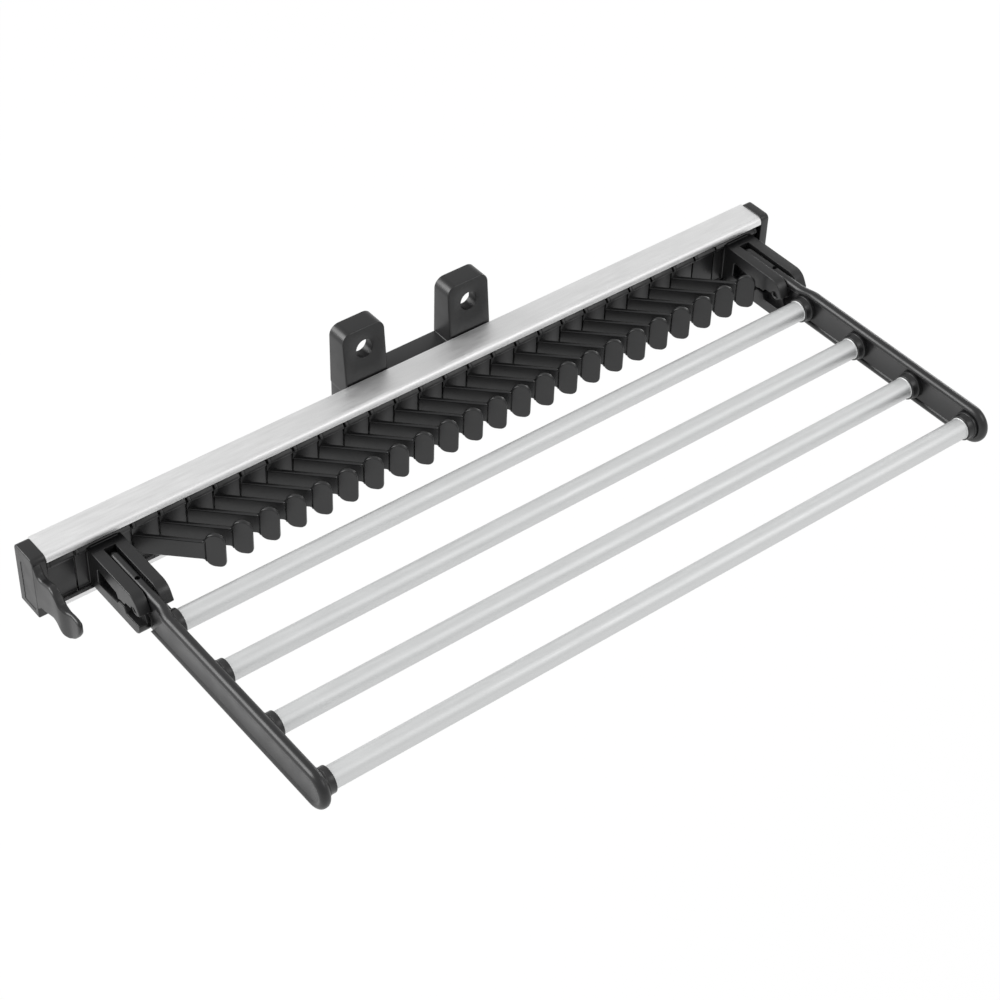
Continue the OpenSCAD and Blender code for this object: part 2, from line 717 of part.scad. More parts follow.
wall_bracket();
front_glide_shoe();
rear_glide_shoe();
rail_profile();
front_end_cap();
rear_end_cap();
front_blank_panel();
rear_blank_panel();
front_clevis();
rear_clevis();
front_pivot_pin();
rear_pivot_pin();
front_arm();
rear_arm();
for (k = [1:hook_count]) tie_hook(k);
for (k = [1:rod_count]) trouser_rod(k);
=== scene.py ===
"""Pull out trouser rack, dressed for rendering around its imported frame.

Lengths are in millimetres, except where a comment says metres.
"""
import math

import bmesh
import bpy
import numpy as np
from mathutils import Matrix, Vector


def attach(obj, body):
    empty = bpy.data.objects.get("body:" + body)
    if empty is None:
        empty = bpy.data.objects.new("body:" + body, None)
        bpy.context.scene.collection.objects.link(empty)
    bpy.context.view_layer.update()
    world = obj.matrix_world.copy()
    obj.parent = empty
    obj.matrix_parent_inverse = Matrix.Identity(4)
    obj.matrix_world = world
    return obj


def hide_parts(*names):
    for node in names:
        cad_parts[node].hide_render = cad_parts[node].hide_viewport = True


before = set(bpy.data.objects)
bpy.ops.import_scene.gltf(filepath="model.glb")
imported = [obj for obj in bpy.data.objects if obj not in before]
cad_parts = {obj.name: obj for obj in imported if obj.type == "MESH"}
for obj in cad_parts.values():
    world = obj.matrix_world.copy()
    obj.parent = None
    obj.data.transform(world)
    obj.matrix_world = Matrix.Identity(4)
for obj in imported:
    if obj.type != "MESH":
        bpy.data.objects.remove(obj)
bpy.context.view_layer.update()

bl_info = {
    "name": "Pull out trouser rack",
    "version": (1, 0, 0),
    "blender": (4, 5, 0),
    "location": "View3D > Sidebar > Trouser rack",
    "description": "Builds the finished surfaces of a pull out trouser rack",
    "category": "Object",
}

# One millimetre in Blender's metres
MM = 0.001

# Rail's own frame, as the source draws it: its front end, back face and top are at zero
RAIL_ORIGIN = np.array([-243.5, -9.0, -18.4])

# Rail and its row of hooks
RAIL_LENGTH = 478.5
RAIL_DEPTH = 18.0
RAIL_HEIGHT = 37.5
HOOK_PITCH = 16.5
HOOK_COUNT = 23
FIRST_HOOK_X = 49.5
WEB_FRONT_Y = -12.6
REAR_BLANK_X = FIRST_HOOK_X + HOOK_COUNT * HOOK_PITCH
PANEL_FACE_Y = -14.8
PANEL_TOP_Z = -1.7
PANEL_FOOT_Z = -35.8
PANEL_JOINT = 0.8
PANEL_LEDGE = 0.6
PANEL_LEDGE_Z = (-33.1, -33.9)
PANEL_BEAD = 1.5
PANEL_BEAD_Z = (-7.6, -11.2)
SHORT_BEAD = 1.9

# Tie hook, drawn along its bar from the panel's face, and the gusset behind its root
HOOK_SETBACK = 0.4
HOOK_ROOT = -1.6
HOOK_REACH = 47.0
HOOK_BAR_TOP_Z = -15.6
HOOK_BAR_FOOT_Z = -28.1
PADDLE_START = 36.2
PADDLE_TOP_Z = -10.1
PADDLE_FOOT_Z = -32.1
PADDLE_ROUND = 5.35
GUSSET_DEPTH = 3.4
GUSSET_FOOT_Z = -27.4
GUSSET_HEIGHT = 9.8

# Middles of the two clevises, and the pivot between arm and clevis
FRONT_X = 33.0
REAR_X = 462.0
PIVOT_Y = -60.0
PIVOT_Z = -17.8

# Swing arm: a tail in the clevis, then a blade that steps aside from it and holds the rods
ARM_HEIGHT = 22.6
ARM_MIDDLE_Z = -20.9
ARM_TOP_Z = ARM_MIDDLE_Z + ARM_HEIGHT / 2
BLADE_THICKNESS = 6.2
FIELD_HALF = 8.1
OUTER_FIELD_SINK = 0.8
INNER_FIELD_SINK = 1.0
BLADE_START_TOP_Y = -81.8
BLADE_START_FOOT_Y = -64.4
LEAN_LENGTH = 12.0
TIP_Y = -203.68
TAIL_THICKNESS = 5.8
BEAD_HEIGHT = 5.6
TAIL_BEAD_ROUND = 2.6
WEB_THICKNESS = 3.0
TAIL_END_Y = -24.25
TONGUE_END_Y = -17.45
TONGUE_TOP_Z = -13.8
TONGUE_FOOT_Z = -20.0
ARM_STEP = 2.0
BEND_START_Y = -70.0
WEB_STEP = 1.6
WEB_BEND_START_Y = -55.0
WEB_BEND_LENGTH = 9.0
TOP_HOLE_Y = -48.5
TOP_HOLE_RADIUS = 1.3
TOP_HOLE_DEPTH = 3.5
TOP_HOLE_ZONE = 2.2

# Rods and the sockets that they are pressed into
FIRST_ROD_Y = -76.2
ROD_SPACING = 42.5
ROD_COUNT = 4
ROD_RADIUS = 6.0
SOCKET_RADIUS = 7.2
SOCKET_LENGTH = 5.3
FOOT_RADIUS = 7.9
FOOT_LENGTH = 1.6
BLADE_INNER_X = FRONT_X - ARM_STEP + BLADE_THICKNESS / 2
SOCKET_MOUTH_X = BLADE_INNER_X + SOCKET_LENGTH

# End caps and pull tab
FRONT_CAP_THICKNESS = 8.4
REAR_CAP_THICKNESS = 6.0
CAP_LIP = 0.6
CAP_CORNER = 3.0
CAP_RIB = 0.25
TAB_THICKNESS = 5.0
TAB_REACH = 39.6
TAB_HEIGHT = 26.0
TAB_MIDDLE_Z = -18.2


def hex_to_linear(code):
    """Turns an sRGB hex colour into linear red, green, blue and alpha, by the sRGB curve."""
    values = [int(code[i:i + 2], 16) / 255 for i in (1, 3, 5)]
    return tuple(v / 12.92 if v <= 0.04045 else ((v + 0.055) / 1.055) ** 2.4 for v in values) + (1.0,)


def colour(name, description, code):
    """Colour property whose default is an sRGB hex value."""
    return bpy.props.FloatVectorProperty(
        name=name, description=description, default=hex_to_linear(code), subtype="COLOR", size=4, min=0, max=1
    )


def length(name, description, millimetres):
    """Length property whose default is given in millimetres."""
    default = millimetres * MM
    return bpy.props.FloatProperty(name=name, description=description, default=default, unit="LENGTH")


class RackSizes(bpy.types.PropertyGroup):
    """Rounds that the finished surfaces add to the frame, and the thickness of the hooks."""
    hook_edge: length("Hook edges", "Round along the edges of a tie hook", 0.7)
    hook_thickness: length("Hook thickness", "Thickness of a tie hook", 2.5)
    panel_edge: length("Panel ends", "Round at the ends of each panel", 0.25)
    cap_edge: length("Cap edges", "Round along the edges of the end caps", 0.7)
    cheek_edge: length("Cheek edges", "Round along the outer edges of the clevises", 0.5)
    lug_edge: length("Lug edges", "Round along the front edges of the bracket's lugs", 1.0)
    arm_edge: length("Arm edges", "Round of the bead along the arms", 2.9)
    socket_lip: length("Socket lips", "Round on the lip of each rod socket", 0.5)


class RackColours(bpy.types.PropertyGroup):
    """Colours of the finishes."""
    moulding: colour("Black moulding", "Colour of the black mouldings", "#141415")
    rail: colour("Anodised rail", "Colour of the anodised rail", "#ECECEC")
    rods: colour("Anodised rods", "Colour of the anodised rods", "#DEDFDF")
    pin: colour("Pins", "Colour of the steel pivot pins", "#77787A")
    glide: colour("Glide shoes", "Colour of the natural acetal shoes", "#E2DFD5")
    floor: colour("Floor", "Colour of the floor", "#F8F8F8")


def add_node(tree, kind, settings=None, **links):
    """Adds a node, sets its sockets and properties by name, and links other sockets to the named ones."""
    node = tree.nodes.new(kind)
    for key, value in (settings or {}).items():
        if key in node.inputs:
            node.inputs[key].default_value = value
        else:
            setattr(node, key, value)
    for key, socket in links.items():
        tree.links.new(socket, node.inputs[key])
    return node


def new_material(name, settings):
    """Material with an output and a surface shader that has those settings."""
    material = bpy.data.materials.new(name)
    material.use_nodes = True
    tree = material.node_tree
    tree.nodes.clear()
    output = tree.nodes.new("ShaderNodeOutputMaterial")
    shader = add_node(tree, "ShaderNodeBsdfPrincipled", settings)
    tree.links.new(shader.outputs["BSDF"], output.inputs["Surface"])
    return material, tree, shader


def object_place(tree):
    """Coordinates on the piece, in metres in the part's frame."""
    return add_node(tree, "ShaderNodeTexCoord").outputs["Object"]


def add_noise(tree, place, scale, detail):
    """Noise about 1 / scale metres wide, with finer layers by its detail, as values from 0 to 1."""
    settings = {"Scale": scale, "Detail": detail}
    return add_node(tree, "ShaderNodeTexNoise", settings, Vector=place).outputs["Fac"]


def map_range(tree, value, given, wanted):
    """Maps a value from a given range, as (low, high), to a wanted one."""
    settings = {"From Min": given[0], "From Max": given[1], "To Min": wanted[0], "To Max": wanted[1]}
    return add_node(tree, "ShaderNodeMapRange", settings, Value=value).outputs["Result"]


def add_bump(tree, height, strength, millimetres):
    """Normal bent by a height between 0 and 1 that stands for so many millimetres."""
    settings = {"Strength": strength, "Distance": millimetres * MM}
    return add_node(tree, "ShaderNodeBump", settings, Height=height).outputs["Normal"]


def moulded_black(base):
    """Black ABS, injection moulded in an eroded tool: a fine, even, matt grain that breaks up highlights."""
    material, tree, shader = new_material("abs_moulded_black", {"Base Color": base, "IOR": 1.54})
    place = object_place(tree)
    # Grain of 0.1 mm on the real part, drawn at about 0.5 mm so that it shows
    grain = add_noise(tree, place, 2000.0, 3.0)
    cloud = add_noise(tree, place, 90.0, 2.0)
    tree.links.new(map_range(tree, cloud, (0.35, 0.65), (0.33, 0.4)), shader.inputs["Roughness"])
    tree.links.new(add_bump(tree, grain, 0.12, 0.08), shader.inputs["Normal"])
    return material


def satin_anodised(name, base, roughness, grain_length):
    """Aluminium, extruded, brushed along its length and clear anodised: a bright satin with faint lines."""
    material, tree, shader = new_material(name, {"Metallic": 1.0})
    place = object_place(tree)
    stretch = {"Scale": (1.0 / grain_length, 1.0, 1.0)}
    stretched = add_node(tree, "ShaderNodeMapping", stretch, Vector=place).outputs["Vector"]
    # Draw lines about 1 mm apart with finer ones between, longer than they are wide by the grain length
    lines = add_noise(tree, stretched, 900.0, 4.0)
    # Fine etched grain, 0.05 mm on the real part, drawn at about 0.4 mm so that it shows
    grain = add_noise(tree, place, 2400.0, 2.0)
    half = {"data_type": "FLOAT", "Factor": 0.5}
    mixed = add_node(tree, "ShaderNodeMix", half, A=lines, B=grain).outputs["Result"]
    tone = map_range(tree, mixed, (0.3, 0.7), (0.95, 1.05))
    tint = add_node(tree, "ShaderNodeVectorMath", {"operation": "SCALE"}, Scale=tone)
    tint.inputs["Vector"].default_value = base[:3]
    rough = map_range(tree, lines, (0.3, 0.7), (roughness - 0.05, roughness + 0.05))
    tree.links.new(tint.outputs["Vector"], shader.inputs["Base Color"])
    tree.links.new(rough, shader.inputs["Roughness"])
    tree.links.new(add_bump(tree, mixed, 0.15, 0.05), shader.inputs["Normal"])
    return material


def ground_steel(base):
    """Steel pin, centreless ground: a grey metal with a soft reflection."""
    material, tree, shader = new_material("steel_ground", {"Metallic": 1.0, "Base Color": base})
    marks = add_noise(tree, object_place(tree), 1500.0, 3.0)
    tree.links.new(map_range(tree, marks, (0, 1), (0.3, 0.45)), shader.inputs["Roughness"])
    return material


def natural_acetal(base):
    """Acetal, injection moulded and uncoloured: a milky white with a waxy sheen."""
    material, tree, shader = new_material("acetal_natural", {"Base Color": base, "IOR": 1.48})
    cloud = add_noise(tree, object_place(tree), 400.0, 3.0)
    tree.links.new(map_range(tree, cloud, (0, 1), (0.3, 0.42)), shader.inputs["Roughness"])
    return material


# What makes each finish, by the name of its colour, and the materials made so far
MAKERS = {
    "moulding": moulded_black,
    "rail": lambda base: satin_anodised("aluminium_anodised_rail", base, 0.5, 14.0),
    "rods": lambda base: satin_anodised("aluminium_anodised_rods", base, 0.56, 20.0),
    "pin": ground_steel,
    "glide": natural_acetal,
}
FINISHES = {}


def finish_material(name):
    """Material of that finish, made on first use from the scene's colour of the same name."""
    if name not in FINISHES:
        FINISHES[name] = MAKERS[name](tuple(getattr(bpy.context.scene.rack_colours, name)))
    return FINISHES[name]


def unit(vector):
    """Vector of length one."""
    return vector / np.linalg.norm(vector)


def fillet(corners, steps=6):
    """Closed outline with round corners, from rows of (across, up, radius), turned to run anticlockwise.

    Each corner is swapped for the arc that touches both of its edges: it starts and ends at radius divided by
    the tangent of half of the angle between the edges.
    """
    corners = np.asarray(corners, float)
    points = []
    for before, corner, after in zip(np.roll(corners, 1, 0), corners, np.roll(corners, -1, 0)):
        here, radius = corner[:2], corner[2]
        if radius == 0:
            points.append(here[None])
            continue
        to_before, to_after = unit(before[:2] - here), unit(after[:2] - here)
        half = math.acos(np.clip(to_before @ to_after, -1, 1)) / 2
        middle = here + unit(to_before + to_after) * radius / math.sin(half)
        start = here + to_before * radius / math.tan(half) - middle
        end = here + to_after * radius / math.tan(half) - middle
        first = math.atan2(start[1], start[0])
        turn = (math.atan2(end[1], end[0]) - first + math.pi) % (2 * math.pi) - math.pi
        angles = first + turn * np.linspace(0, 1, steps + 1)
        points.append(middle + radius * np.stack([np.cos(angles), np.sin(angles)], 1))
    outline = np.concatenate(points)
    ahead = np.roll(outline, -1, 0)
    turns_left = (outline[:, 0] * ahead[:, 1] - ahead[:, 0] * outline[:, 1]).sum() > 0
    return outline if turns_left else outline[::-1]


def inset_loop(outline, distance):
    """Outline moved inwards: each point goes along the mean of its edges' normals, far enough for both."""
    edges = np.roll(outline, -1, 0) - outline
    normals = np.stack([-edges[:, 1], edges[:, 0]], 1) / np.linalg.norm(edges, axis=1)[:, None]
    before = np.roll(normals, 1, 0)
    mean = normals + before
    mean /= np.linalg.norm(mean, axis=1)[:, None]
    return outline + mean * (distance / np.maximum((mean * normals).sum(1), 0.3))[:, None]


def round_edge(thickness, radius, steps=4, land=0.05):
    """Edge of a plate as rows of (inset, height): flat, a quarter circle, the side, a quarter circle, flat.

    The land is the narrow flat ring that keeps the shading of the plate's face level. The outline's corners
    are rounder than radius + land.
    """
    angles = np.linspace(0, math.pi / 2, steps + 1)
    arc = np.stack([radius * (1 - np.sin(angles)), radius * (1 - np.cos(angles))], 1)
    lower = np.concatenate([[[radius + land, 0]], arc])
    upper = lower[::-1] * [1, -1] + [0, thickness]
    return np.concatenate([lower, upper])


def round_one_edge(thickness, radius, steps=4):
    """Edge of a plate that is round at its first face only and runs straight on to the other face."""
    lower = round_edge(thickness, radius, steps)[:steps + 2]
    return np.concatenate([lower, [[0, thickness]]])


def grid_faces(rows, columns, closed=False, closed_row=True):
    """Four-sided faces of a grid of points, row after row. A row may close on itself, and so may the rows."""
    last_column = columns if closed_row else columns - 1
    last_row = rows if closed else rows - 1
    column, row = (places.ravel() for places in np.meshgrid(np.arange(last_column), np.arange(last_row)))
    after, up = (column + 1) % columns, (row + 1) % rows
    corners = [row * columns + column, row * columns + after, up * columns + after, up * columns + column]
    return np.stack(corners, 1).tolist()


def tube_grid(rings, closed=False):
    """Points and faces of a tube along rings of points, with flat ends, or joined end to end where closed."""
    rings = np.asarray(rings, float)
    number, count = rings.shape[:2]
    faces = grid_faces(number, count, closed)
    if not closed:
        last = (number - 1) * count
        faces += [list(range(count - 1, -1, -1)), list(range(last, last + count))]
    return rings.reshape(-1, 3), faces


def plate(outline, profile):
    """Skin of a plate: its edge profile, rows of (inset, height), carried round the outline, with flat faces.

    A point is (across, up, height).
    """
    level = np.ones(len(outline))
    rings = [np.column_stack([inset_loop(outline, inset), level * height]) for inset, height in profile]
    return tube_grid(rings)


def smooth_step(value):
    """Eases from 0 to 1 with level ends."""
    t = np.clip(value, 0, 1)
    return t * t * (3 - 2 * t)


def bar_rings(x_mid, y, foot, top, thickness, radius, steps=8):
    """Upright sections with round corners, one at each place y, in rows of points.

    A corner's points are its middle plus radius times (cosine, sine). The radius is never more than half of
    the thickness or of the height.
    """
    x_mid, y, foot, top, thickness = np.broadcast_arrays(x_mid, y, foot, top, thickness)
    quarter = np.linspace(0, math.pi / 2, steps + 1)
    angles = np.concatenate([quarter + k * math.pi / 2 for k in range(4)])
    side = np.repeat([1, -1, -1, 1], steps + 1)
    rise = np.repeat([1, 1, -1, -1], steps + 1)
    half_x = thickness[:, None] / 2
    half_z = (top - foot)[:, None] / 2
    corner = np.minimum(radius, np.minimum(half_x, half_z))
    rings = np.empty((len(y), len(angles), 3))
    rings[..., 0] = x_mid[:, None] + side * (half_x - corner) + corner * np.cos(angles)
    rings[..., 1] = y[:, None]
    rings[..., 2] = (top + foot)[:, None] / 2 + rise * (half_z - corner) + corner * np.sin(angles)
    return rings


def spun(profile, centre, steps=64):
    """Profile, rows of (distance from the axis, place along X), spun about an axis along X through centre."""
    angles = np.linspace(0, 2 * math.pi, steps, endpoint=False)
    profile = np.asarray(profile, float)
    rings = np.empty((len(profile), steps, 3))
    rings[..., 0] = profile[:, 1][:, None]
    rings[..., 1] = centre[0] + profile[:, 0][:, None] * np.cos(angles)
    rings[..., 2] = centre[1] + profile[:, 0][:, None] * np.sin(angles)
    return rings


def across_rail(part, x, mirror=False):
    """Places a plate drawn with Y across and Z up, its height along X from x, or against X where mirrored."""
    points, faces = part
    along = x - points[:, 2] if mirror else x + points[:, 2]
    return np.column_stack([along, points[:, 0], points[:, 1]]), faces


def facing_front(part, y, mirror=False):
    """Places a plate drawn with X across and Z up, its height along Y from y, or against Y where mirrored."""
    points, faces = part
    along = y - points[:, 2] if mirror else y + points[:, 2]
    return np.column_stack([points[:, 0], along, points[:, 1]]), faces


def raised(part, z):
    """Lifts a plate drawn in X and Y so that its foot is at z."""
    points, faces = part
    return points + [0, 0, z], faces


def build_piece(name, parts, body, finish, nodes=(), sharp=40.0):
    """Makes one object of parts, each (points, faces) in the rail's own frame, and hands it to the frame."""
    vertices, faces, start = [], [], 0
    for points, part_faces in parts:
        vertices.append(np.asarray(points, float))
        faces += [[start + k for k in face] for face in part_faces]
        start += len(points)
    mesh = bpy.data.meshes.new(name)
    mesh.from_pydata(((np.concatenate(vertices) + RAIL_ORIGIN) * MM).tolist(), [], faces)
    work = bmesh.new()
    work.from_mesh(mesh)
    bmesh.ops.remove_doubles(work, verts=work.verts, dist=0.002 * MM)
    bmesh.ops.recalc_face_normals(work, faces=work.faces)
    work.to_mesh(mesh)
    work.free()
    mesh.polygons.foreach_set("use_smooth", np.ones(len(mesh.polygons), bool))
    mesh.set_sharp_from_angle(angle=math.radians(sharp))
    mesh.materials.append(finish_material(finish))
    piece = bpy.data.objects.new(name, mesh)
    bpy.context.scene.collection.objects.link(piece)
    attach(piece, body)
    if nodes:
        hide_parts(*nodes)


def build_moulding(name, parts, body, sharp=40.0):
    """Makes the black moulding that stands in for the CAD node of that name."""
    build_piece(name + "_moulded", parts, body, "moulding", [name], sharp)


def to_rear(part):
    """Copy of a part of the front arm or clevis for the rear end, mirrored half way between the clevises."""
    points, faces = part
    points = np.array(points, float)
    points[:, 0] = FRONT_X + REAR_X - points[:, 0]
    return points, faces


def dress_node(name, finish):
    """Gives a CAD node its finish."""
    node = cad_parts[name]
    node.data.materials.clear()
    node.data.materials.append(finish_material(finish))


def panel_parts(x, width, edge):
    """Panel with its fine ledge, and the bead below the rail's lip in a short and a long length."""
    face, back = PANEL_FACE_Y, WEB_FRONT_Y
    ledge_y = face - PANEL_LEDGE
    ledge_top, ledge_foot = PANEL_LEDGE_Z
    outline = fillet([
        (back, PANEL_TOP_Z, 0), (face, PANEL_TOP_Z, 0.4), (face, ledge_top + 0.2, 0.3),
        (ledge_y, ledge_top, 0.3), (ledge_y, ledge_foot, 0.3), (face, ledge_foot - 0.2, 0.3),
        (face, PANEL_FOOT_Z, 0), (back, PANEL_FOOT_Z, 0),
    ], 4)
    parts = [across_rail(plate(outline, round_edge(width - PANEL_JOINT, edge, 3)), x + PANEL_JOINT / 2)]
    bead_y = face - PANEL_BEAD
    bead_top, bead_foot = PANEL_BEAD_Z
    bead = fillet([
        (face + 0.5, bead_top, 0.45), (face - 0.2, bead_top, 0.5), (bead_y, bead_top - 1.6, 0.9),
        (bead_y, bead_foot + 0.3, 0.9), (face + 0.5, bead_foot, 0.45),
    ], 6)
    first, last = x + PANEL_JOINT / 2 + 0.25, x + width - PANEL_JOINT / 2 - 0.1
    for start, end in ((first, first + SHORT_BEAD), (first + SHORT_BEAD - 0.1, last)):
        parts.append(across_rail(plate(bead, round_edge(end - start, 0.35)), start))
    return parts


def hook_parts(x, sizes):
    """Tie hook: a flat bar with a paddle at its tip, and a gusset at its root.

    The bar is drawn along X and turned by 45 degrees about the upright at its root.
    """
    thickness, edge = sizes.hook_thickness / MM, sizes.hook_edge / MM
    outline = fillet([
        (HOOK_ROOT, HOOK_BAR_FOOT_Z, 0), (PADDLE_START, HOOK_BAR_FOOT_Z + 0.4, 1.5),
        (PADDLE_START, PADDLE_FOOT_Z, 5.3), (HOOK_REACH, PADDLE_FOOT_Z, 3.6),
        (HOOK_REACH, PADDLE_TOP_Z, PADDLE_ROUND), (PADDLE_START, PADDLE_TOP_Z, PADDLE_ROUND),
        (PADDLE_START, HOOK_BAR_TOP_Z, 1.2), (HOOK_ROOT, HOOK_BAR_TOP_Z, 0),
    ], 8)
    flat, faces = facing_front(plate(outline, round_edge(thickness, edge)), thickness / 2, mirror=True)
    turn = math.sqrt(0.5)
    foot = np.array([x + HOOK_SETBACK + thickness / 2 / turn, PANEL_FACE_Y, 0.0])
    rotate = np.array([[turn, turn, 0], [-turn, turn, 0], [0, 0, 1]])
    bar = (flat @ rotate.T + foot, faces)
    sunk, crest = PANEL_FACE_Y + 0.6, PANEL_FACE_Y - GUSSET_DEPTH
    gusset = fillet([
        (x + 1.6, sunk, 0), (x + 7.6, sunk, 0), (x + 7.0, PANEL_FACE_Y - 0.6, 0.7), (x + 6.0, crest, 0.8),
        (x + 4.6, crest, 0),
    ], 4)
    return [bar, raised(plate(gusset, round_edge(GUSSET_HEIGHT, 0.6)), GUSSET_FOOT_Z)]


# Clevis: two cheeks, each a web with an outer layer, the bridge between them, and a pad on the panel
CLEVIS_WIDTH = 20.1
CHEEK_THICKNESS = 6.8
CHEEK_WEB = 2.3
CHEEK_TOP_Z = -8.6
CHEEK_FOOT_Z = -32.6
CHEEK_SKIN = 0.03
NOSE_CORNER_Y = -61.0
NOSE_ROUND = 8.5
NOSE_Y = -66.0
NOSE_FOOT_Z = -17.8
LEDGE_Y = -64.1
BRIDGE_FOOT_Z = -13.8
THROAT_Y = -22.0
PIN_RING_RADIUS = 3.5
PIN_RING_BORE = 2.3
PIN_RING_DEPTH = 1.0
PAD_FACE_Y = -17.0
PAD_FOOT_Z = -34.1
PAD_MARGIN = 0.3


def cheek_outline():
    """Whole side of a cheek, drawn with Y across and Z up: a sloping nose over a ledge."""
    return fillet([
        (PAD_FACE_Y + 1, CHEEK_TOP_Z, 0), (NOSE_CORNER_Y, CHEEK_TOP_Z, NOSE_ROUND), (NOSE_Y, NOSE_FOOT_Z, 1),
        (-62.2, -20.6, 1), (LEDGE_Y, -25.4, 0.6), (LEDGE_Y, CHEEK_FOOT_Z, 4.5),
        (PAD_FACE_Y + 1, CHEEK_FOOT_Z, 0),
    ], 10)


def cheek_layer_outline():
    """Outer layer of a cheek: the same side with its pocket and the notch that opens to the pin."""
    return fillet([
        (PAD_FACE_Y + 1, CHEEK_TOP_Z, 0), (NOSE_CORNER_Y, CHEEK_TOP_Z, NOSE_ROUND), (NOSE_Y, NOSE_FOOT_Z, 1),
        (-63.2, -18.6, 0.6), (-62.3, -17, 0.9), (-60.2, -15.2, 1.4), (-57.9, -16.2, 0.9), (-56.9, -18.1, 0.6),
        (-51.8, -18.6, 0.8), (-50.9, -20.5, 0.6), (-47.8, -20.3, 0.6), (-44.6, -21.3, 0.6), (-43.6, -18.2, 1),
        (-35, -17.1, 2), (-25.4, -15.6, 1.6), (-25.4, -25.6, 1), (-43.6, -24.6, 1), (-45.4, -22.5, 0.6),
        (-50.3, -22.4, 0.6), (-51.9, -26, 1.4), (LEDGE_Y, -25.8, 0.6), (LEDGE_Y, CHEEK_FOOT_Z, 4.5),
        (PAD_FACE_Y + 1, CHEEK_FOOT_Z, 0),
    ], 6)


def pin_ring_part(start, end):
    """Ring round the end of the pivot pin, from a cheek's web outwards."""
    toward = math.copysign(1, end - start)
    bore, radius = PIN_RING_BORE, PIN_RING_RADIUS
    profile = [
        (bore, start - toward), (radius, start - toward), (radius, end - 0.3 * toward),
        (radius - 0.1, end - 0.1 * toward), (radius - 0.3, end), (bore + 0.2, end),
        (bore, end - 0.2 * toward),
    ]
    return tube_grid(spun(profile, (PIVOT_Y, PIVOT_Z), 40), closed=True)


def clevis_parts(sizes):
    """Front clevis: both cheeks, the bridge between them, the pad and the panel.

    Each cheek is a web beside its slot and an outer layer that laps over it by CHEEK_SKIN. The bridge laps
    over both cheeks in the same way, so that no two faces lie in one plane.
    """
    edge = sizes.cheek_edge / MM
    web = plate(cheek_outline(), round_edge(CHEEK_WEB, 0.35, 3))
    layer_outline = inset_loop(cheek_layer_outline(), -CHEEK_SKIN)
    layer = plate(layer_outline, round_one_edge(CHEEK_THICKNESS - 0.5, edge))
    low_x, high_x = FRONT_X - CLEVIS_WIDTH / 2, FRONT_X + CLEVIS_WIDTH / 2
    slot_low, slot_high = low_x + CHEEK_THICKNESS, high_x - CHEEK_THICKNESS
    parts = [across_rail(web, slot_low - CHEEK_WEB), across_rail(web, slot_high)]
    parts += [across_rail(layer, low_x), across_rail(layer, high_x, mirror=True)]
    bridge = fillet([
        (low_x + edge, PAD_FACE_Y + 1, 0), (low_x + edge, THROAT_Y, 0.3), (high_x - edge, THROAT_Y, 0.3),
        (high_x - edge, PAD_FACE_Y + 1, 0),
    ], 3)
    depth = CHEEK_TOP_Z + 2 * CHEEK_SKIN - BRIDGE_FOOT_Z
    parts.append(raised(plate(bridge, round_edge(depth, 0.04, 2)), BRIDGE_FOOT_Z))
    parts.append(pin_ring_part(slot_low - CHEEK_WEB, low_x + PIN_RING_DEPTH))
    parts.append(pin_ring_part(slot_high + CHEEK_WEB, high_x - PIN_RING_DEPTH))
    left, right, top = low_x - PAD_MARGIN, high_x + PAD_MARGIN, CHEEK_TOP_Z + PAD_MARGIN
    pad = fillet([(left, PAD_FOOT_Z, 3), (right, PAD_FOOT_Z, 3), (right, top, 3), (left, top, 3)])
    pad_plate = plate(pad, round_edge(PANEL_FACE_Y - PAD_FACE_Y + 0.5, 0.5, 3))
    parts.append(facing_front(pad_plate, PANEL_FACE_Y + 0.5, mirror=True))
    return parts + panel_parts(FRONT_X - HOOK_PITCH, 2 * HOOK_PITCH, sizes.panel_edge / MM)


# Wall bracket: two lugs over a block with a hollow back, and the tongue that the shoes sit on
BRACKET_MIDDLE_X = 243.5
BRACKET_WIDTH = 97.2
BRACKET_FRONT_Y = 1.0
BRACKET_FOOT_Z = -42.0
BAR_TOP_Z = -3.9
WALL_Y = 16.0
WALL_THICKNESS = 3.5
LUG_OFFSET = 34.9
LUG_WIDTH = 27.4
LUG_TOP_Z = 31.5
LUG_FOOT_Z = -6.0
LUG_CORNER = 6.0
LUG_TOP_Y = 4.0
LUG_HOLLOW_Y = 9.0
HOLE_Z = 18.4
HOLE_RADIUS = 5.5
HOLE_BACK_RADIUS = 5.1
CHAMFER = 0.25
CHAMFER_SHARE = 0.985
NECK_HALF = 5.8
HEAD_FRONT_Y = -7.45
HEAD_BACK_Y = -3.45
HEAD_HALF = 8.25
CHANNEL_Z = -18.75
TONGUE_INSET = 3.0


def ray_reach(outline, centre, angles):
    """Distance from the centre to the outline along each angle: the nearest crossing of ray and edge."""
    start = outline - centre
    along = np.roll(outline, -1, 0) - outline
    ray = np.stack([np.cos(angles), np.sin(angles)], 1)[:, None, :]
    cross = ray[..., 0] * along[:, 1] - ray[..., 1] * along[:, 0]
    cross = np.where(np.abs(cross) < 1e-9, 1e-9, cross)
    reach = (start[:, 0] * along[:, 1] - start[:, 1] * along[:, 0]) / cross
    share = (start[:, 0] * ray[..., 1] - start[:, 1] * ray[..., 0]) / cross
    reach = np.where((share >= -1e-6) & (share <= 1 + 1e-6) & (reach > 0), reach, np.inf)
    return reach.min(1)


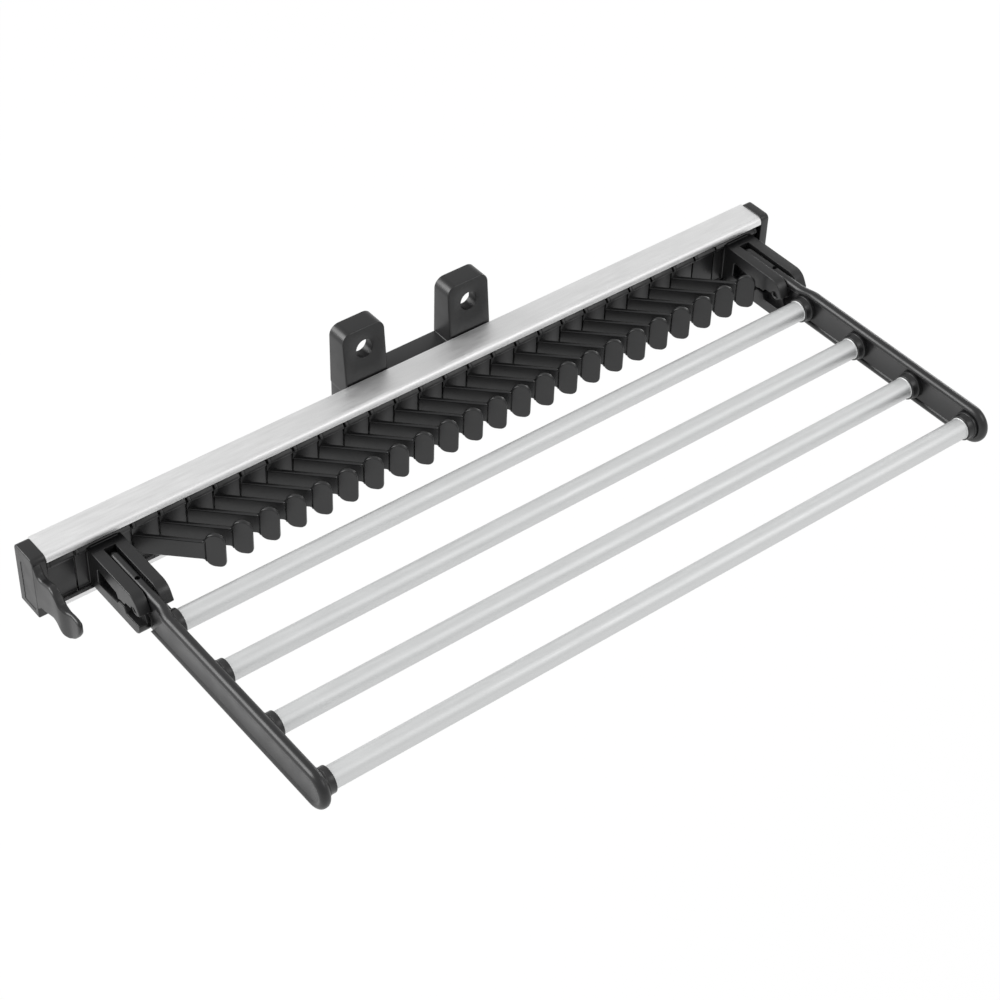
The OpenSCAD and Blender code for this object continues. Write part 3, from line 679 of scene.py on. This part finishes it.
def lug_part(x, sizes):
    """Lug with its bolt hole, whose front leans back towards the wall as it rises.

    Rings round the hole's middle go along the bore, over the front, down the sides and back into the hollow.
    """
    edge = sizes.lug_edge / MM
    centre = np.array([x, HOLE_Z])
    low, high = x - LUG_WIDTH / 2, x + LUG_WIDTH / 2
    outline = fillet([
        (low, LUG_FOOT_Z, 0.5), (high, LUG_FOOT_Z, 0.5), (high, LUG_TOP_Z, LUG_CORNER),
        (low, LUG_TOP_Z, LUG_CORNER),
    ], 12)
    corners = np.arctan2(outline[:, 1] - HOLE_Z, outline[:, 0] - x)
    angles = np.unique(np.concatenate([corners, np.linspace(-math.pi, math.pi, 72, endpoint=False)]))

    def ring(inset, share):
        """Ring inset from the outline, at a share of the depth from the wall to the front."""
        loop = inset_loop(outline, inset) if inset > 0 else outline
        return ray_reach(loop, centre, angles), np.full(len(angles), share)

    def hole_ring(radius, share):
        """Ring round the hole, at a share of that depth."""
        return np.full(len(angles), radius), np.full(len(angles), share)

    depth = WALL_Y - BRACKET_FRONT_Y
    arc = np.linspace(0, math.pi / 2, 6)
    front_at_hole = BRACKET_FRONT_Y + (LUG_TOP_Y - BRACKET_FRONT_Y) * HOLE_Z / LUG_TOP_Z
    floor_share = (WALL_Y - LUG_HOLLOW_Y) / (WALL_Y - front_at_hole)
    rings = [hole_ring(HOLE_BACK_RADIUS, floor_share), hole_ring(HOLE_RADIUS, CHAMFER_SHARE)]
    rings.append(hole_ring(HOLE_RADIUS + CHAMFER, 1.0))
    rings += [ring(edge * (1 - math.sin(a)), 1 - edge * (1 - math.cos(a)) / depth) for a in arc]
    rings += [ring(0, 0.0), ring(WALL_THICKNESS, 0.0), ring(WALL_THICKNESS, floor_share)]
    reach = np.array([r for r, _ in rings])
    share = np.array([s for _, s in rings])
    across = x + reach * np.cos(angles)
    up = HOLE_Z + reach * np.sin(angles)
    front = BRACKET_FRONT_Y + (LUG_TOP_Y - BRACKET_FRONT_Y) * up / LUG_TOP_Z
    y = WALL_Y - share * (WALL_Y - front)
    return tube_grid(np.stack([across, y, up], -1), closed=True)


def block_part(low, high, edge=0.6):
    """Block between two corners, with round edges: its front drawn in X and Z and carried along Y."""
    corner = edge + 0.1
    outline = fillet([
        (low[0], low[2], corner), (high[0], low[2], corner), (high[0], high[2], corner),
        (low[0], high[2], corner),
    ], 4)
    return facing_front(plate(outline, round_edge(high[1] - low[1], edge, 3)), low[1])


def bracket_parts(sizes):
    """Wall bracket: a front plate, the walls round two hollows, both lugs, and the tongue's neck and head.

    Parts that meet flush are set back from each other by small steps, so that no two faces lie in one plane.
    """
    low_x, high_x = BRACKET_MIDDLE_X - BRACKET_WIDTH / 2, BRACKET_MIDDLE_X + BRACKET_WIDTH / 2
    front, wall, foot, top = BRACKET_FRONT_Y, WALL_THICKNESS, BRACKET_FOOT_Z, BAR_TOP_Z
    parts = [block_part((low_x + 0.02, front, foot + 0.02), (high_x - 0.02, front + wall, top - 0.02))]
    for start, end in ((foot, foot + wall), (top - wall, top)):
        parts.append(block_part((low_x + 0.04, front + 0.02, start), (high_x - 0.04, WALL_Y - 0.04, end)))
    for x in (low_x + 0.06, BRACKET_MIDDLE_X - wall / 2, high_x - wall - 0.06):
        parts.append(block_part((x, front + 0.6, foot + 0.06), (x + wall, WALL_Y - 0.08, top - 0.06)))
    low_x, high_x = low_x + TONGUE_INSET, high_x - TONGUE_INSET
    neck_low = (low_x + 0.05, HEAD_BACK_Y - 0.5, CHANNEL_Z - NECK_HALF)
    neck_high = (high_x - 0.05, front + 1, CHANNEL_Z + NECK_HALF)
    head_low = (low_x, HEAD_FRONT_Y, CHANNEL_Z - HEAD_HALF)
    head_high = (high_x, HEAD_BACK_Y, CHANNEL_Z + HEAD_HALF)
    parts += [block_part(neck_low, neck_high, 0.3), block_part(head_low, head_high, 0.3)]
    for side in (-1, 1):
        parts.append(lug_part(BRACKET_MIDDLE_X + side * LUG_OFFSET, sizes))
    # Small bead where the bar meets the second lug
    corner_x = BRACKET_MIDDLE_X + LUG_OFFSET - LUG_WIDTH / 2
    low = (corner_x - 0.5, front + 0.3, top - 1)
    high = (corner_x + 0.8, WALL_Y - 0.3, top + 0.5)
    parts.append(block_part(low, high, 0.45))
    return parts


def start_slant(z):
    """Place along Y of the blade's slanted start at height z."""
    share = (ARM_TOP_Z - z) / ARM_HEIGHT
    return BLADE_START_TOP_Y + (BLADE_START_FOOT_Y - BLADE_START_TOP_Y) * share


def lean_to_start(rings, places):
    """Leans the sections over, evenly, until the last one lies on the blade's slanted start."""
    lean = np.clip((PIVOT_Y - places) / (PIVOT_Y - BLADE_START_TOP_Y), 0, 1)[:, None]
    rings[..., 1] += lean * (start_slant(rings[..., 2]) - BLADE_START_TOP_Y)
    return rings


def tail_bead_part(sizes):
    """Bead along the top of the arm's tail, from its round end in the clevis to the blade, with a small hole.

    A section at place y is an upright rounded bar. From the pivot on, its thickness, its round and its lean
    go over evenly to those of the blade.
    """
    end_radius = TAIL_THICKNESS / 2
    places = np.concatenate([
        TAIL_END_Y - end_radius * (1 - np.cos(np.linspace(0.1, math.pi / 2, 9))),
        np.linspace(TAIL_END_Y - end_radius, TOP_HOLE_Y + TOP_HOLE_ZONE, 22)[1:],
        np.linspace(TOP_HOLE_Y + TOP_HOLE_ZONE, TOP_HOLE_Y - TOP_HOLE_ZONE, 17)[1:],
        np.linspace(TOP_HOLE_Y - TOP_HOLE_ZONE, BLADE_START_TOP_Y, 34)[1:],
    ])
    into = np.clip((TAIL_END_Y - places) / end_radius, 0, 1)
    round_end = np.sqrt(1 - (1 - into) ** 2)
    along = np.clip((PIVOT_Y - places) / (PIVOT_Y - BLADE_START_TOP_Y), 0, 1)
    thickness = TAIL_THICKNESS * round_end + (BLADE_THICKNESS - TAIL_THICKNESS) * along
    top = ARM_TOP_Z - 1.6 * (1 - round_end)
    radius = TAIL_BEAD_ROUND + (sizes.arm_edge / MM - TAIL_BEAD_ROUND) * along[:, None]
    rings = bar_rings(FRONT_X, places, ARM_TOP_Z - BEAD_HEIGHT, top, thickness, radius, 10)
    near_hole = np.hypot(rings[..., 0] - FRONT_X, rings[..., 1] - TOP_HOLE_Y) < TOP_HOLE_RADIUS
    rings[..., 2] -= np.where(near_hole & (rings[..., 2] > ARM_TOP_Z - 1.5), TOP_HOLE_DEPTH, 0)
    rings = lean_to_start(rings, places)
    # Past the nose of the clevis the bead eases over by the step, up to the blade
    bend = smooth_step((BEND_START_Y - places) / (BEND_START_Y - BLADE_START_TOP_Y))
    rings[..., 0] -= ARM_STEP * bend[:, None]
    return tube_grid(rings)


def tail_web_part():
    """Thin web under that bead. Near its end its foot follows a circle as high as the arm."""
    foot_radius = ARM_HEIGHT / 2
    first = TAIL_END_Y - 1.2
    places = np.concatenate([
        first - foot_radius * (1 - np.cos(np.linspace(0.05, math.pi / 2, 12))),
        np.linspace(first - foot_radius, PIVOT_Y, 10)[1:],
        np.linspace(PIVOT_Y, BLADE_START_TOP_Y, 24)[1:],
    ])
    drop = np.clip(foot_radius - (first - places), 0, None)
    foot = ARM_MIDDLE_Z - np.sqrt(foot_radius ** 2 - drop ** 2) + 0.2
    top = ARM_TOP_Z - BEAD_HEIGHT / 2
    rings = lean_to_start(bar_rings(FRONT_X, places, foot, top, WEB_THICKNESS, 1.0, 4), places)
    rings[..., 0] -= WEB_STEP * smooth_step((WEB_BEND_START_Y - rings[..., 1]) / WEB_BEND_LENGTH)
    return tube_grid(rings)


def tongue_part():
    """Tongue at the tail's end, which rests under the bridge of the clevis."""
    places = np.linspace(TONGUE_END_Y, TAIL_END_Y - ARM_HEIGHT / 2, 4)
    return tube_grid(bar_rings(FRONT_X, places, TONGUE_FOOT_Z, TONGUE_TOP_Z, TAIL_THICKNESS, 0.4, 3))


def blade_part(sizes):
    """Blade of the arm: half of its section is carried along the top, round the tip and back along the foot.

    The half section runs from the middle of the outer field over the round bead to the middle of the inner
    field. Round the tip a point at height h goes to (tip - h sine, h cosine).
    """
    bead = sizes.arm_edge / MM
    half = BLADE_THICKNESS / 2
    crest = ARM_HEIGHT / 2
    arc = np.linspace(0, math.pi / 2, 9)
    outer_bead = np.stack([bead - half - bead * np.cos(arc), crest - bead + bead * np.sin(arc)], 1)
    inner_bead = outer_bead[::-1] * [-1, 1]
    outer, inner, top = OUTER_FIELD_SINK - half, half - INNER_FIELD_SINK, FIELD_HALF
    outer_field = [(outer, 0), (outer, top - 1.8), (outer - 0.08, top - 1.55), (outer - 0.35, top - 1.3),
                   (outer - 0.52, top - 1), (outer - 0.7, top)]
    inner_field = [(inner + 0.9, top), (inner + 0.7, top - 0.6), (inner + 0.5, top - 0.9),
                   (inner + 0.1, top - 1.05), (inner, top - 1.3), (inner, 0)]
    section = np.concatenate([outer_field, outer_bead, inner_bead, inner_field])
    across, up = section[:, 0], section[:, 1]
    lean_end = BLADE_START_TOP_Y - LEAN_LENGTH
    straight = np.append(np.linspace(BLADE_START_TOP_Y, lean_end, 16), np.linspace(lean_end, TIP_Y, 12)[1:])
    lean = np.clip((straight - lean_end) / (BLADE_START_TOP_Y - lean_end), 0, 1)[:, None]
    turn = np.linspace(0, math.pi, 33)[1:-1, None]

    def edge(sign):
        """Sections along the top edge, or with a sign of -1 along the foot."""
        z = ARM_MIDDLE_Z + sign * up + 0 * lean
        y = straight[:, None] + lean * (start_slant(z) - BLADE_START_TOP_Y)
        return np.stack([across + 0 * y, y, z], -1)

    tip = np.stack([across + 0 * turn, TIP_Y - up * np.sin(turn), ARM_MIDDLE_Z + up * np.cos(turn)], -1)
    rings = np.concatenate([edge(1), tip, edge(-1)[::-1]])
    rings[..., 0] += FRONT_X - ARM_STEP
    number, count = rings.shape[:2]
    faces = grid_faces(number, count, closed_row=False)
    first, last = list(range(count)), list(range((number - 1) * count, number * count))
    faces.append(first + last[-2:0:-1])
    return rings.reshape(-1, 3), faces


def socket_part(y, sizes):
    """Socket on the arm's inner face: a ring with a foot and a round lip, spun round the rod."""
    lip = sizes.socket_lip / MM
    face, foot, mouth = BLADE_INNER_X, BLADE_INNER_X + FOOT_LENGTH, SOCKET_MOUTH_X
    arc = np.linspace(0, math.pi / 2, 6)
    foot_round = np.stack([FOOT_RADIUS - 0.5 + 0.5 * np.cos(arc), foot - 0.5 + 0.5 * np.sin(arc)], 1)
    lip_round = np.stack([SOCKET_RADIUS - lip + lip * np.cos(arc), mouth - lip + lip * np.sin(arc)], 1)
    bore = ROD_RADIUS + 0.3
    profile = np.concatenate([
        [(bore, face - 1.5), (FOOT_RADIUS, face - 1.5)], foot_round, [(SOCKET_RADIUS + 0.15, foot)],
        [(SOCKET_RADIUS, foot + 0.2)], lip_round, [(bore + 0.15, mouth), (bore, mouth - 0.2)],
    ])
    return tube_grid(spun(profile, (y, ARM_MIDDLE_Z)), closed=True)


def rod_ring_part(y):
    """Thin bright ring round a rod just outside its socket's mouth."""
    arc = np.linspace(0, math.pi, 7)
    bulge = np.stack([ROD_RADIUS + 0.3 * np.sin(arc), SOCKET_MOUTH_X + 0.15 - 0.35 * np.cos(arc)], 1)
    inside = [(ROD_RADIUS - 0.3, SOCKET_MOUTH_X + 0.5), (ROD_RADIUS - 0.3, SOCKET_MOUTH_X - 0.2)]
    profile = np.concatenate([bulge, inside])
    return tube_grid(spun(profile, (y, ARM_MIDDLE_Z)), closed=True)


# Pull tab's upper and lower edges: share of its reach, share of its height
TAB_TOP_SHARES = np.array([
    (-0.03, 0.65), (0.03, 0.56), (0.07, 0.43), (0.16, 0.41), (0.37, 0.5), (0.47, 0.46), (0.55, 0.37),
    (0.6, 0.27), (0.7, 0.22), (0.83, 0.24), (0.92, 0.235), (0.96, 0.215), (0.985, 0.18), (0.996, 0.14),
    (1.0, 0.1),
])
TAB_FOOT_SHARES = np.array([
    (-0.03, -0.6), (0.01, -0.52), (0.09, -0.41), (0.22, -0.37), (0.42, -0.27), (0.51, -0.29), (0.57, -0.38),
    (0.63, -0.47), (0.71, -0.48), (0.81, -0.39), (0.92, -0.2), (0.965, -0.09), (0.988, 0.0), (1.0, 0.08),
])
TAB_NECK_SHARE = 0.57
TAB_SINK = 0.4
TAB_SCOOP = 2.3
TAB_END_ROUND = 2.2
TAB_END_THIN = 1.2


def tab_part():
    """Pull tab: sections along its reach, as high as its two edges, with a thin round end that is scooped."""
    share = 1 - (1 - np.linspace(0, 1, 70)) ** 1.6 * (1 - TAB_TOP_SHARES[0, 0])

    def eased(shares):
        """Height of an edge at each section, its corners softened by a moving mean except near the tip."""
        fine = np.linspace(shares[0, 0], 1, 400)
        level = np.interp(fine, shares[:, 0], shares[:, 1])
        weights = np.hanning(31) / np.hanning(31).sum()
        soft = np.convolve(np.pad(level, 15, mode="edge"), weights, "valid")
        mixed = soft + (level - soft) * smooth_step((fine - 0.9) / 0.08)
        return TAB_MIDDLE_Z + TAB_HEIGHT * np.interp(share, fine, mixed)

    top, foot = eased(TAB_TOP_SHARES), eased(TAB_FOOT_SHARES)
    y = -RAIL_DEPTH - share * TAB_REACH
    near_end = np.clip((1 - share) * TAB_REACH / TAB_END_ROUND, 0, 1)
    round_end = np.sqrt(1 - (1 - near_end) ** 2)
    sunk = TAB_SINK * smooth_step((TAB_NECK_SHARE - share) / 0.25)
    scoop = TAB_SCOOP * smooth_step((share - TAB_NECK_SHARE) / 0.24)
    front = -FRONT_CAP_THICKNESS + sunk + scoop + TAB_END_THIN * (1 - round_end)
    back = -FRONT_CAP_THICKNESS + TAB_THICKNESS - TAB_END_THIN * (1 - round_end)
    return tube_grid(bar_rings((front + back) / 2, y, foot, top, back - front, 1.5))


def cap_outline():
    """Outline of an end cap, drawn with Y across and Z up."""
    front, foot, corner = -RAIL_DEPTH - 0.1, -RAIL_HEIGHT - CAP_LIP, CAP_CORNER
    return fillet([(0, foot, 0.8), (0, CAP_LIP, corner), (front, CAP_LIP, corner), (front, foot, 0.8)], 8)


def cap_part(x, thickness, sizes):
    """End cap's block with round edges."""
    return across_rail(plate(cap_outline(), round_edge(thickness, sizes.cap_edge / MM)), x)


def cap_rib_part():
    """Fine rib on the front cap's face, down along its back and under the tab."""
    outline = fillet([
        (-5.4, -8.6, 0.2), (-4.8, -8.6, 0.2), (-4.8, -34.4, 0.2), (-15, -34.4, 0.2), (-15, -33.8, 0.2),
        (-5.4, -33.8, 0.2),
    ], 3)
    return across_rail(plate(outline, round_edge(CAP_RIB + 0.6, 0.12, 2, 0.04)), -FRONT_CAP_THICKNESS)


class RACK_OT_rail(bpy.types.Operator):
    """Finishes the aluminium rail"""
    bl_idname = "trouser_rack.rail"
    bl_label = "Rail"

    def execute(self, context):
        dress_node("rail_profile", "rail")
        return {"FINISHED"}


class RACK_OT_caps(bpy.types.Operator):
    """Finishes both end caps"""
    bl_idname = "trouser_rack.caps"
    bl_label = "End caps"

    def execute(self, context):
        sizes = context.scene.rack_sizes
        block = cap_part(CAP_RIB - FRONT_CAP_THICKNESS, FRONT_CAP_THICKNESS - CAP_RIB, sizes)
        front = [block, cap_rib_part(), tab_part()]
        rear = [cap_part(RAIL_LENGTH, REAR_CAP_THICKNESS, sizes)]
        build_moulding("front_end_cap", front, "rail")
        build_moulding("rear_end_cap", rear, "rail")
        return {"FINISHED"}


class RACK_OT_panels(bpy.types.Operator):
    """Builds the two blank panels"""
    bl_idname = "trouser_rack.panels"
    bl_label = "Blank panels"

    def execute(self, context):
        edge = context.scene.rack_sizes.panel_edge / MM
        for name, x in (("front_blank_panel", 0.0), ("rear_blank_panel", REAR_BLANK_X)):
            build_moulding(name, panel_parts(x, HOOK_PITCH, edge), "rail")
        return {"FINISHED"}


class RACK_OT_hooks(bpy.types.Operator):
    """Builds the row of tie hooks, each with its panel"""
    bl_idname = "trouser_rack.hooks"
    bl_label = "Tie hooks"

    def execute(self, context):
        sizes = context.scene.rack_sizes
        for k in range(HOOK_COUNT):
            x = FIRST_HOOK_X + k * HOOK_PITCH
            parts = panel_parts(x, HOOK_PITCH, sizes.panel_edge / MM) + hook_parts(x, sizes)
            build_moulding(f"tie_hook_{k + 1:02d}", parts, "rail")
        return {"FINISHED"}


class RACK_OT_clevises(bpy.types.Operator):
    """Finishes both clevises and their pivot pins"""
    bl_idname = "trouser_rack.clevises"
    bl_label = "Clevises"

    def execute(self, context):
        front = clevis_parts(context.scene.rack_sizes)
        rear = [to_rear(part) for part in front]
        for end, parts in (("front", front), ("rear", rear)):
            build_moulding(end + "_clevis", parts, "rail")
            dress_node(end + "_pivot_pin", "pin")
        return {"FINISHED"}


class RACK_OT_arms(bpy.types.Operator):
    """Finishes both swing arms"""
    bl_idname = "trouser_rack.arms"
    bl_label = "Swing arms"

    def execute(self, context):
        sizes = context.scene.rack_sizes
        front = [tail_bead_part(sizes), tail_web_part(), tongue_part(), blade_part(sizes)]
        front += [socket_part(FIRST_ROD_Y - k * ROD_SPACING, sizes) for k in range(ROD_COUNT)]
        rear = [to_rear(part) for part in front]
        for end, parts in (("front", front), ("rear", rear)):
            build_moulding(end + "_arm", parts, "trouser_frame", 50)
        return {"FINISHED"}


class RACK_OT_rods(bpy.types.Operator):
    """Finishes the trouser rods and adds the bright ring at each socket's mouth"""
    bl_idname = "trouser_rack.rods"
    bl_label = "Trouser rods"

    def execute(self, context):
        for k in range(ROD_COUNT):
            name = f"trouser_rod_{k + 1}"
            dress_node(name, "rods")
            front = rod_ring_part(FIRST_ROD_Y - k * ROD_SPACING)
            build_piece(name + "_rings", [front, to_rear(front)], "trouser_frame", "rods")
        return {"FINISHED"}


class RACK_OT_bracket(bpy.types.Operator):
    """Finishes the wall bracket and its glide shoes"""
    bl_idname = "trouser_rack.bracket"
    bl_label = "Wall bracket"

    def execute(self, context):
        build_moulding("wall_bracket", bracket_parts(context.scene.rack_sizes), "bracket")
        for end in ("front", "rear"):
            dress_node(end + "_glide_shoe", "glide")
        return {"FINISHED"}


# Camera in the part's frame, in millimetres and degrees, and its shift as shares of the picture's width
CAMERA_PLACE = (-610.69, -825.5, 808.93)
CAMERA_AZIMUTH = -38.4356
CAMERA_ELEVATION = 42.2626
CAMERA_ROLL = 1.3174
LENS = 86.78
SENSOR = 36.0
SHIFT_X = 0.0289
SHIFT_Y = -0.0106

# Floor, world and lamps. A lamp is its name, place and side in metres, and power in watts
FLOOR_Z = -420.0
FLOOR_HALF = 6000.0
FLOOR_GLOW = 0.96
WORLD_STRENGTH = 0.7
WHITE = (1, 1, 1, 1)
LAMP_TARGET = (0.0, -0.1, -0.03)
LAMPS = (
    ("key", (-1.25, 0.85, 0.95), 1.2, 28),
    ("fill", (0.74, -1.05, 0.95), 0.6, 3),
    ("side", (1.5, 0.45, 0.25), 0.5, 4),
)


def camera_matrix():
    """Camera's place and axes: it looks down from its elevation, turned by its azimuth about the vertical."""
    azimuth, elevation, roll = (math.radians(v) for v in (CAMERA_AZIMUTH, CAMERA_ELEVATION, CAMERA_ROLL))
    level = math.cos(elevation)
    back = Vector((math.sin(azimuth) * level, -math.cos(azimuth) * level, math.sin(elevation)))
    right = Vector((math.cos(azimuth), math.sin(azimuth), 0))
    up = back.cross(right)
    across = right * math.cos(roll) + up * math.sin(roll)
    above = up * math.cos(roll) - right * math.sin(roll)
    matrix = Matrix((across, above, back)).transposed().to_4x4()
    matrix.translation = Vector(CAMERA_PLACE) * MM
    return matrix


def add_lamp(scene, name, place, size, power):
    """Square area lamp that points at the middle of the rack."""
    lamp = bpy.data.lights.new(name, "AREA")
    lamp.shape = "SQUARE"
    lamp.size = size
    lamp.energy = power
    holder = bpy.data.objects.new(name, lamp)
    holder.location = place
    holder.rotation_euler = (Vector(LAMP_TARGET) - Vector(place)).to_track_quat("-Z", "Y").to_euler()
    scene.collection.objects.link(holder)


def add_mix(tree, factor, first, second, output):
    """Mixes two shaders by a factor and shows the mix as the output's surface."""
    mix = add_node(tree, "ShaderNodeMixShader")
    for socket, source in zip(mix.inputs, (factor, first, second)):
        tree.links.new(source, socket)
    tree.links.new(mix.outputs["Shader"], output.inputs["Surface"])


def add_floor(scene):
    """Floor of matt white paper below the rack. It keeps the rack's shadow, and it glows to the camera and to
    reflections, so that it shows white."""
    mesh = bpy.data.meshes.new("floor")
    side, level = FLOOR_HALF * MM, FLOOR_Z * MM
    corners = [(-side, -side, level), (side, -side, level), (side, side, level), (-side, side, level)]
    mesh.from_pydata(corners, [], [(0, 1, 2, 3)])
    floor = bpy.data.objects.new("floor", mesh)
    scene.collection.objects.link(floor)
    settings = {"Base Color": tuple(scene.rack_colours.floor), "Roughness": 0.9}
    material, tree, shader = new_material("paper_floor", settings)
    path = add_node(tree, "ShaderNodeLightPath")
    seen = add_node(tree, "ShaderNodeMath", {"operation": "MAXIMUM"})
    tree.links.new(path.outputs["Is Camera Ray"], seen.inputs[0])
    tree.links.new(path.outputs["Is Glossy Ray"], seen.inputs[1])
    share = add_node(tree, "ShaderNodeMath", {"operation": "MULTIPLY"})
    tree.links.new(seen.outputs["Value"], share.inputs[0])
    share.inputs[1].default_value = FLOOR_GLOW
    glow = add_node(tree, "ShaderNodeEmission", {"Color": WHITE, "Strength": 1.0})
    output = next(node for node in tree.nodes if node.type == "OUTPUT_MATERIAL")
    add_mix(tree, share.outputs["Value"], shader.outputs["BSDF"], glow.outputs["Emission"], output)
    mesh.materials.append(material)


def add_world(scene):
    """Soft even light from all sides, which the camera sees as white."""
    world = bpy.data.worlds.new("studio")
    scene.world = world
    world.use_nodes = True
    tree = world.node_tree
    tree.nodes.clear()
    output = add_node(tree, "ShaderNodeOutputWorld")
    path = add_node(tree, "ShaderNodeLightPath")
    soft = add_node(tree, "ShaderNodeBackground", {"Color": WHITE, "Strength": WORLD_STRENGTH})
    white = add_node(tree, "ShaderNodeBackground", {"Color": WHITE, "Strength": 1.0})
    camera_ray = path.outputs["Is Camera Ray"]
    add_mix(tree, camera_ray, soft.outputs["Background"], white.outputs["Background"], output)


def add_camera(scene):
    """Camera at the photograph's angle."""
    camera = bpy.data.cameras.new("camera")
    camera.sensor_width = SENSOR
    camera.lens = LENS
    camera.shift_x = SHIFT_X
    camera.shift_y = SHIFT_Y
    camera.clip_start = 0.05
    holder = bpy.data.objects.new("camera", camera)
    holder.matrix_world = camera_matrix()
    scene.collection.objects.link(holder)
    scene.camera = holder


class RACK_OT_stage(bpy.types.Operator):
    """Sets the floor, lamps, world and camera"""
    bl_idname = "trouser_rack.stage"
    bl_label = "Stage"

    def execute(self, context):
        add_floor(context.scene)
        add_world(context.scene)
        for name, place, size, power in LAMPS:
            add_lamp(context.scene, name, place, size, power)
        add_camera(context.scene)
        context.scene.view_settings.view_transform = "Standard"
        return {"FINISHED"}


class RACK_PT_panel(bpy.types.Panel):
    """Lists the rack's pieces in the sidebar"""
    bl_label = "Trouser rack"
    bl_idname = "RACK_PT_panel"
    bl_space_type = "VIEW_3D"
    bl_region_type = "UI"
    bl_category = "Trouser rack"

    def draw(self, context):
        for group in (context.scene.rack_sizes, context.scene.rack_colours):
            box = self.layout.box()
            for key in group.__annotations__:
                box.prop(group, key)
        for operator in OPERATORS:
            self.layout.operator(operator.bl_idname)


OPERATORS = (
    RACK_OT_rail, RACK_OT_caps, RACK_OT_panels, RACK_OT_hooks, RACK_OT_clevises, RACK_OT_arms, RACK_OT_rods,
    RACK_OT_bracket, RACK_OT_stage,
)
CLASSES = (RackSizes, RackColours) + OPERATORS + (RACK_PT_panel,)


def register():
    """Registers the classes and hangs the sizes and colours on the scene."""
    for cls in CLASSES:
        bpy.utils.register_class(cls)
    bpy.types.Scene.rack_sizes = bpy.props.PointerProperty(type=RackSizes)
    bpy.types.Scene.rack_colours = bpy.props.PointerProperty(type=RackColours)


def unregister():
    """Takes the classes and properties off again."""
    del bpy.types.Scene.rack_sizes
    del bpy.types.Scene.rack_colours
    for cls in reversed(CLASSES):
        bpy.utils.unregister_class(cls)


def main():
    """Builds every piece and the stage, in order."""
    register()
    for operator in OPERATORS:
        group, name = operator.bl_idname.split(".")
        getattr(getattr(bpy.ops, group), name)()
    bpy.context.view_layer.update()


if __name__ == "__main__":
    main()
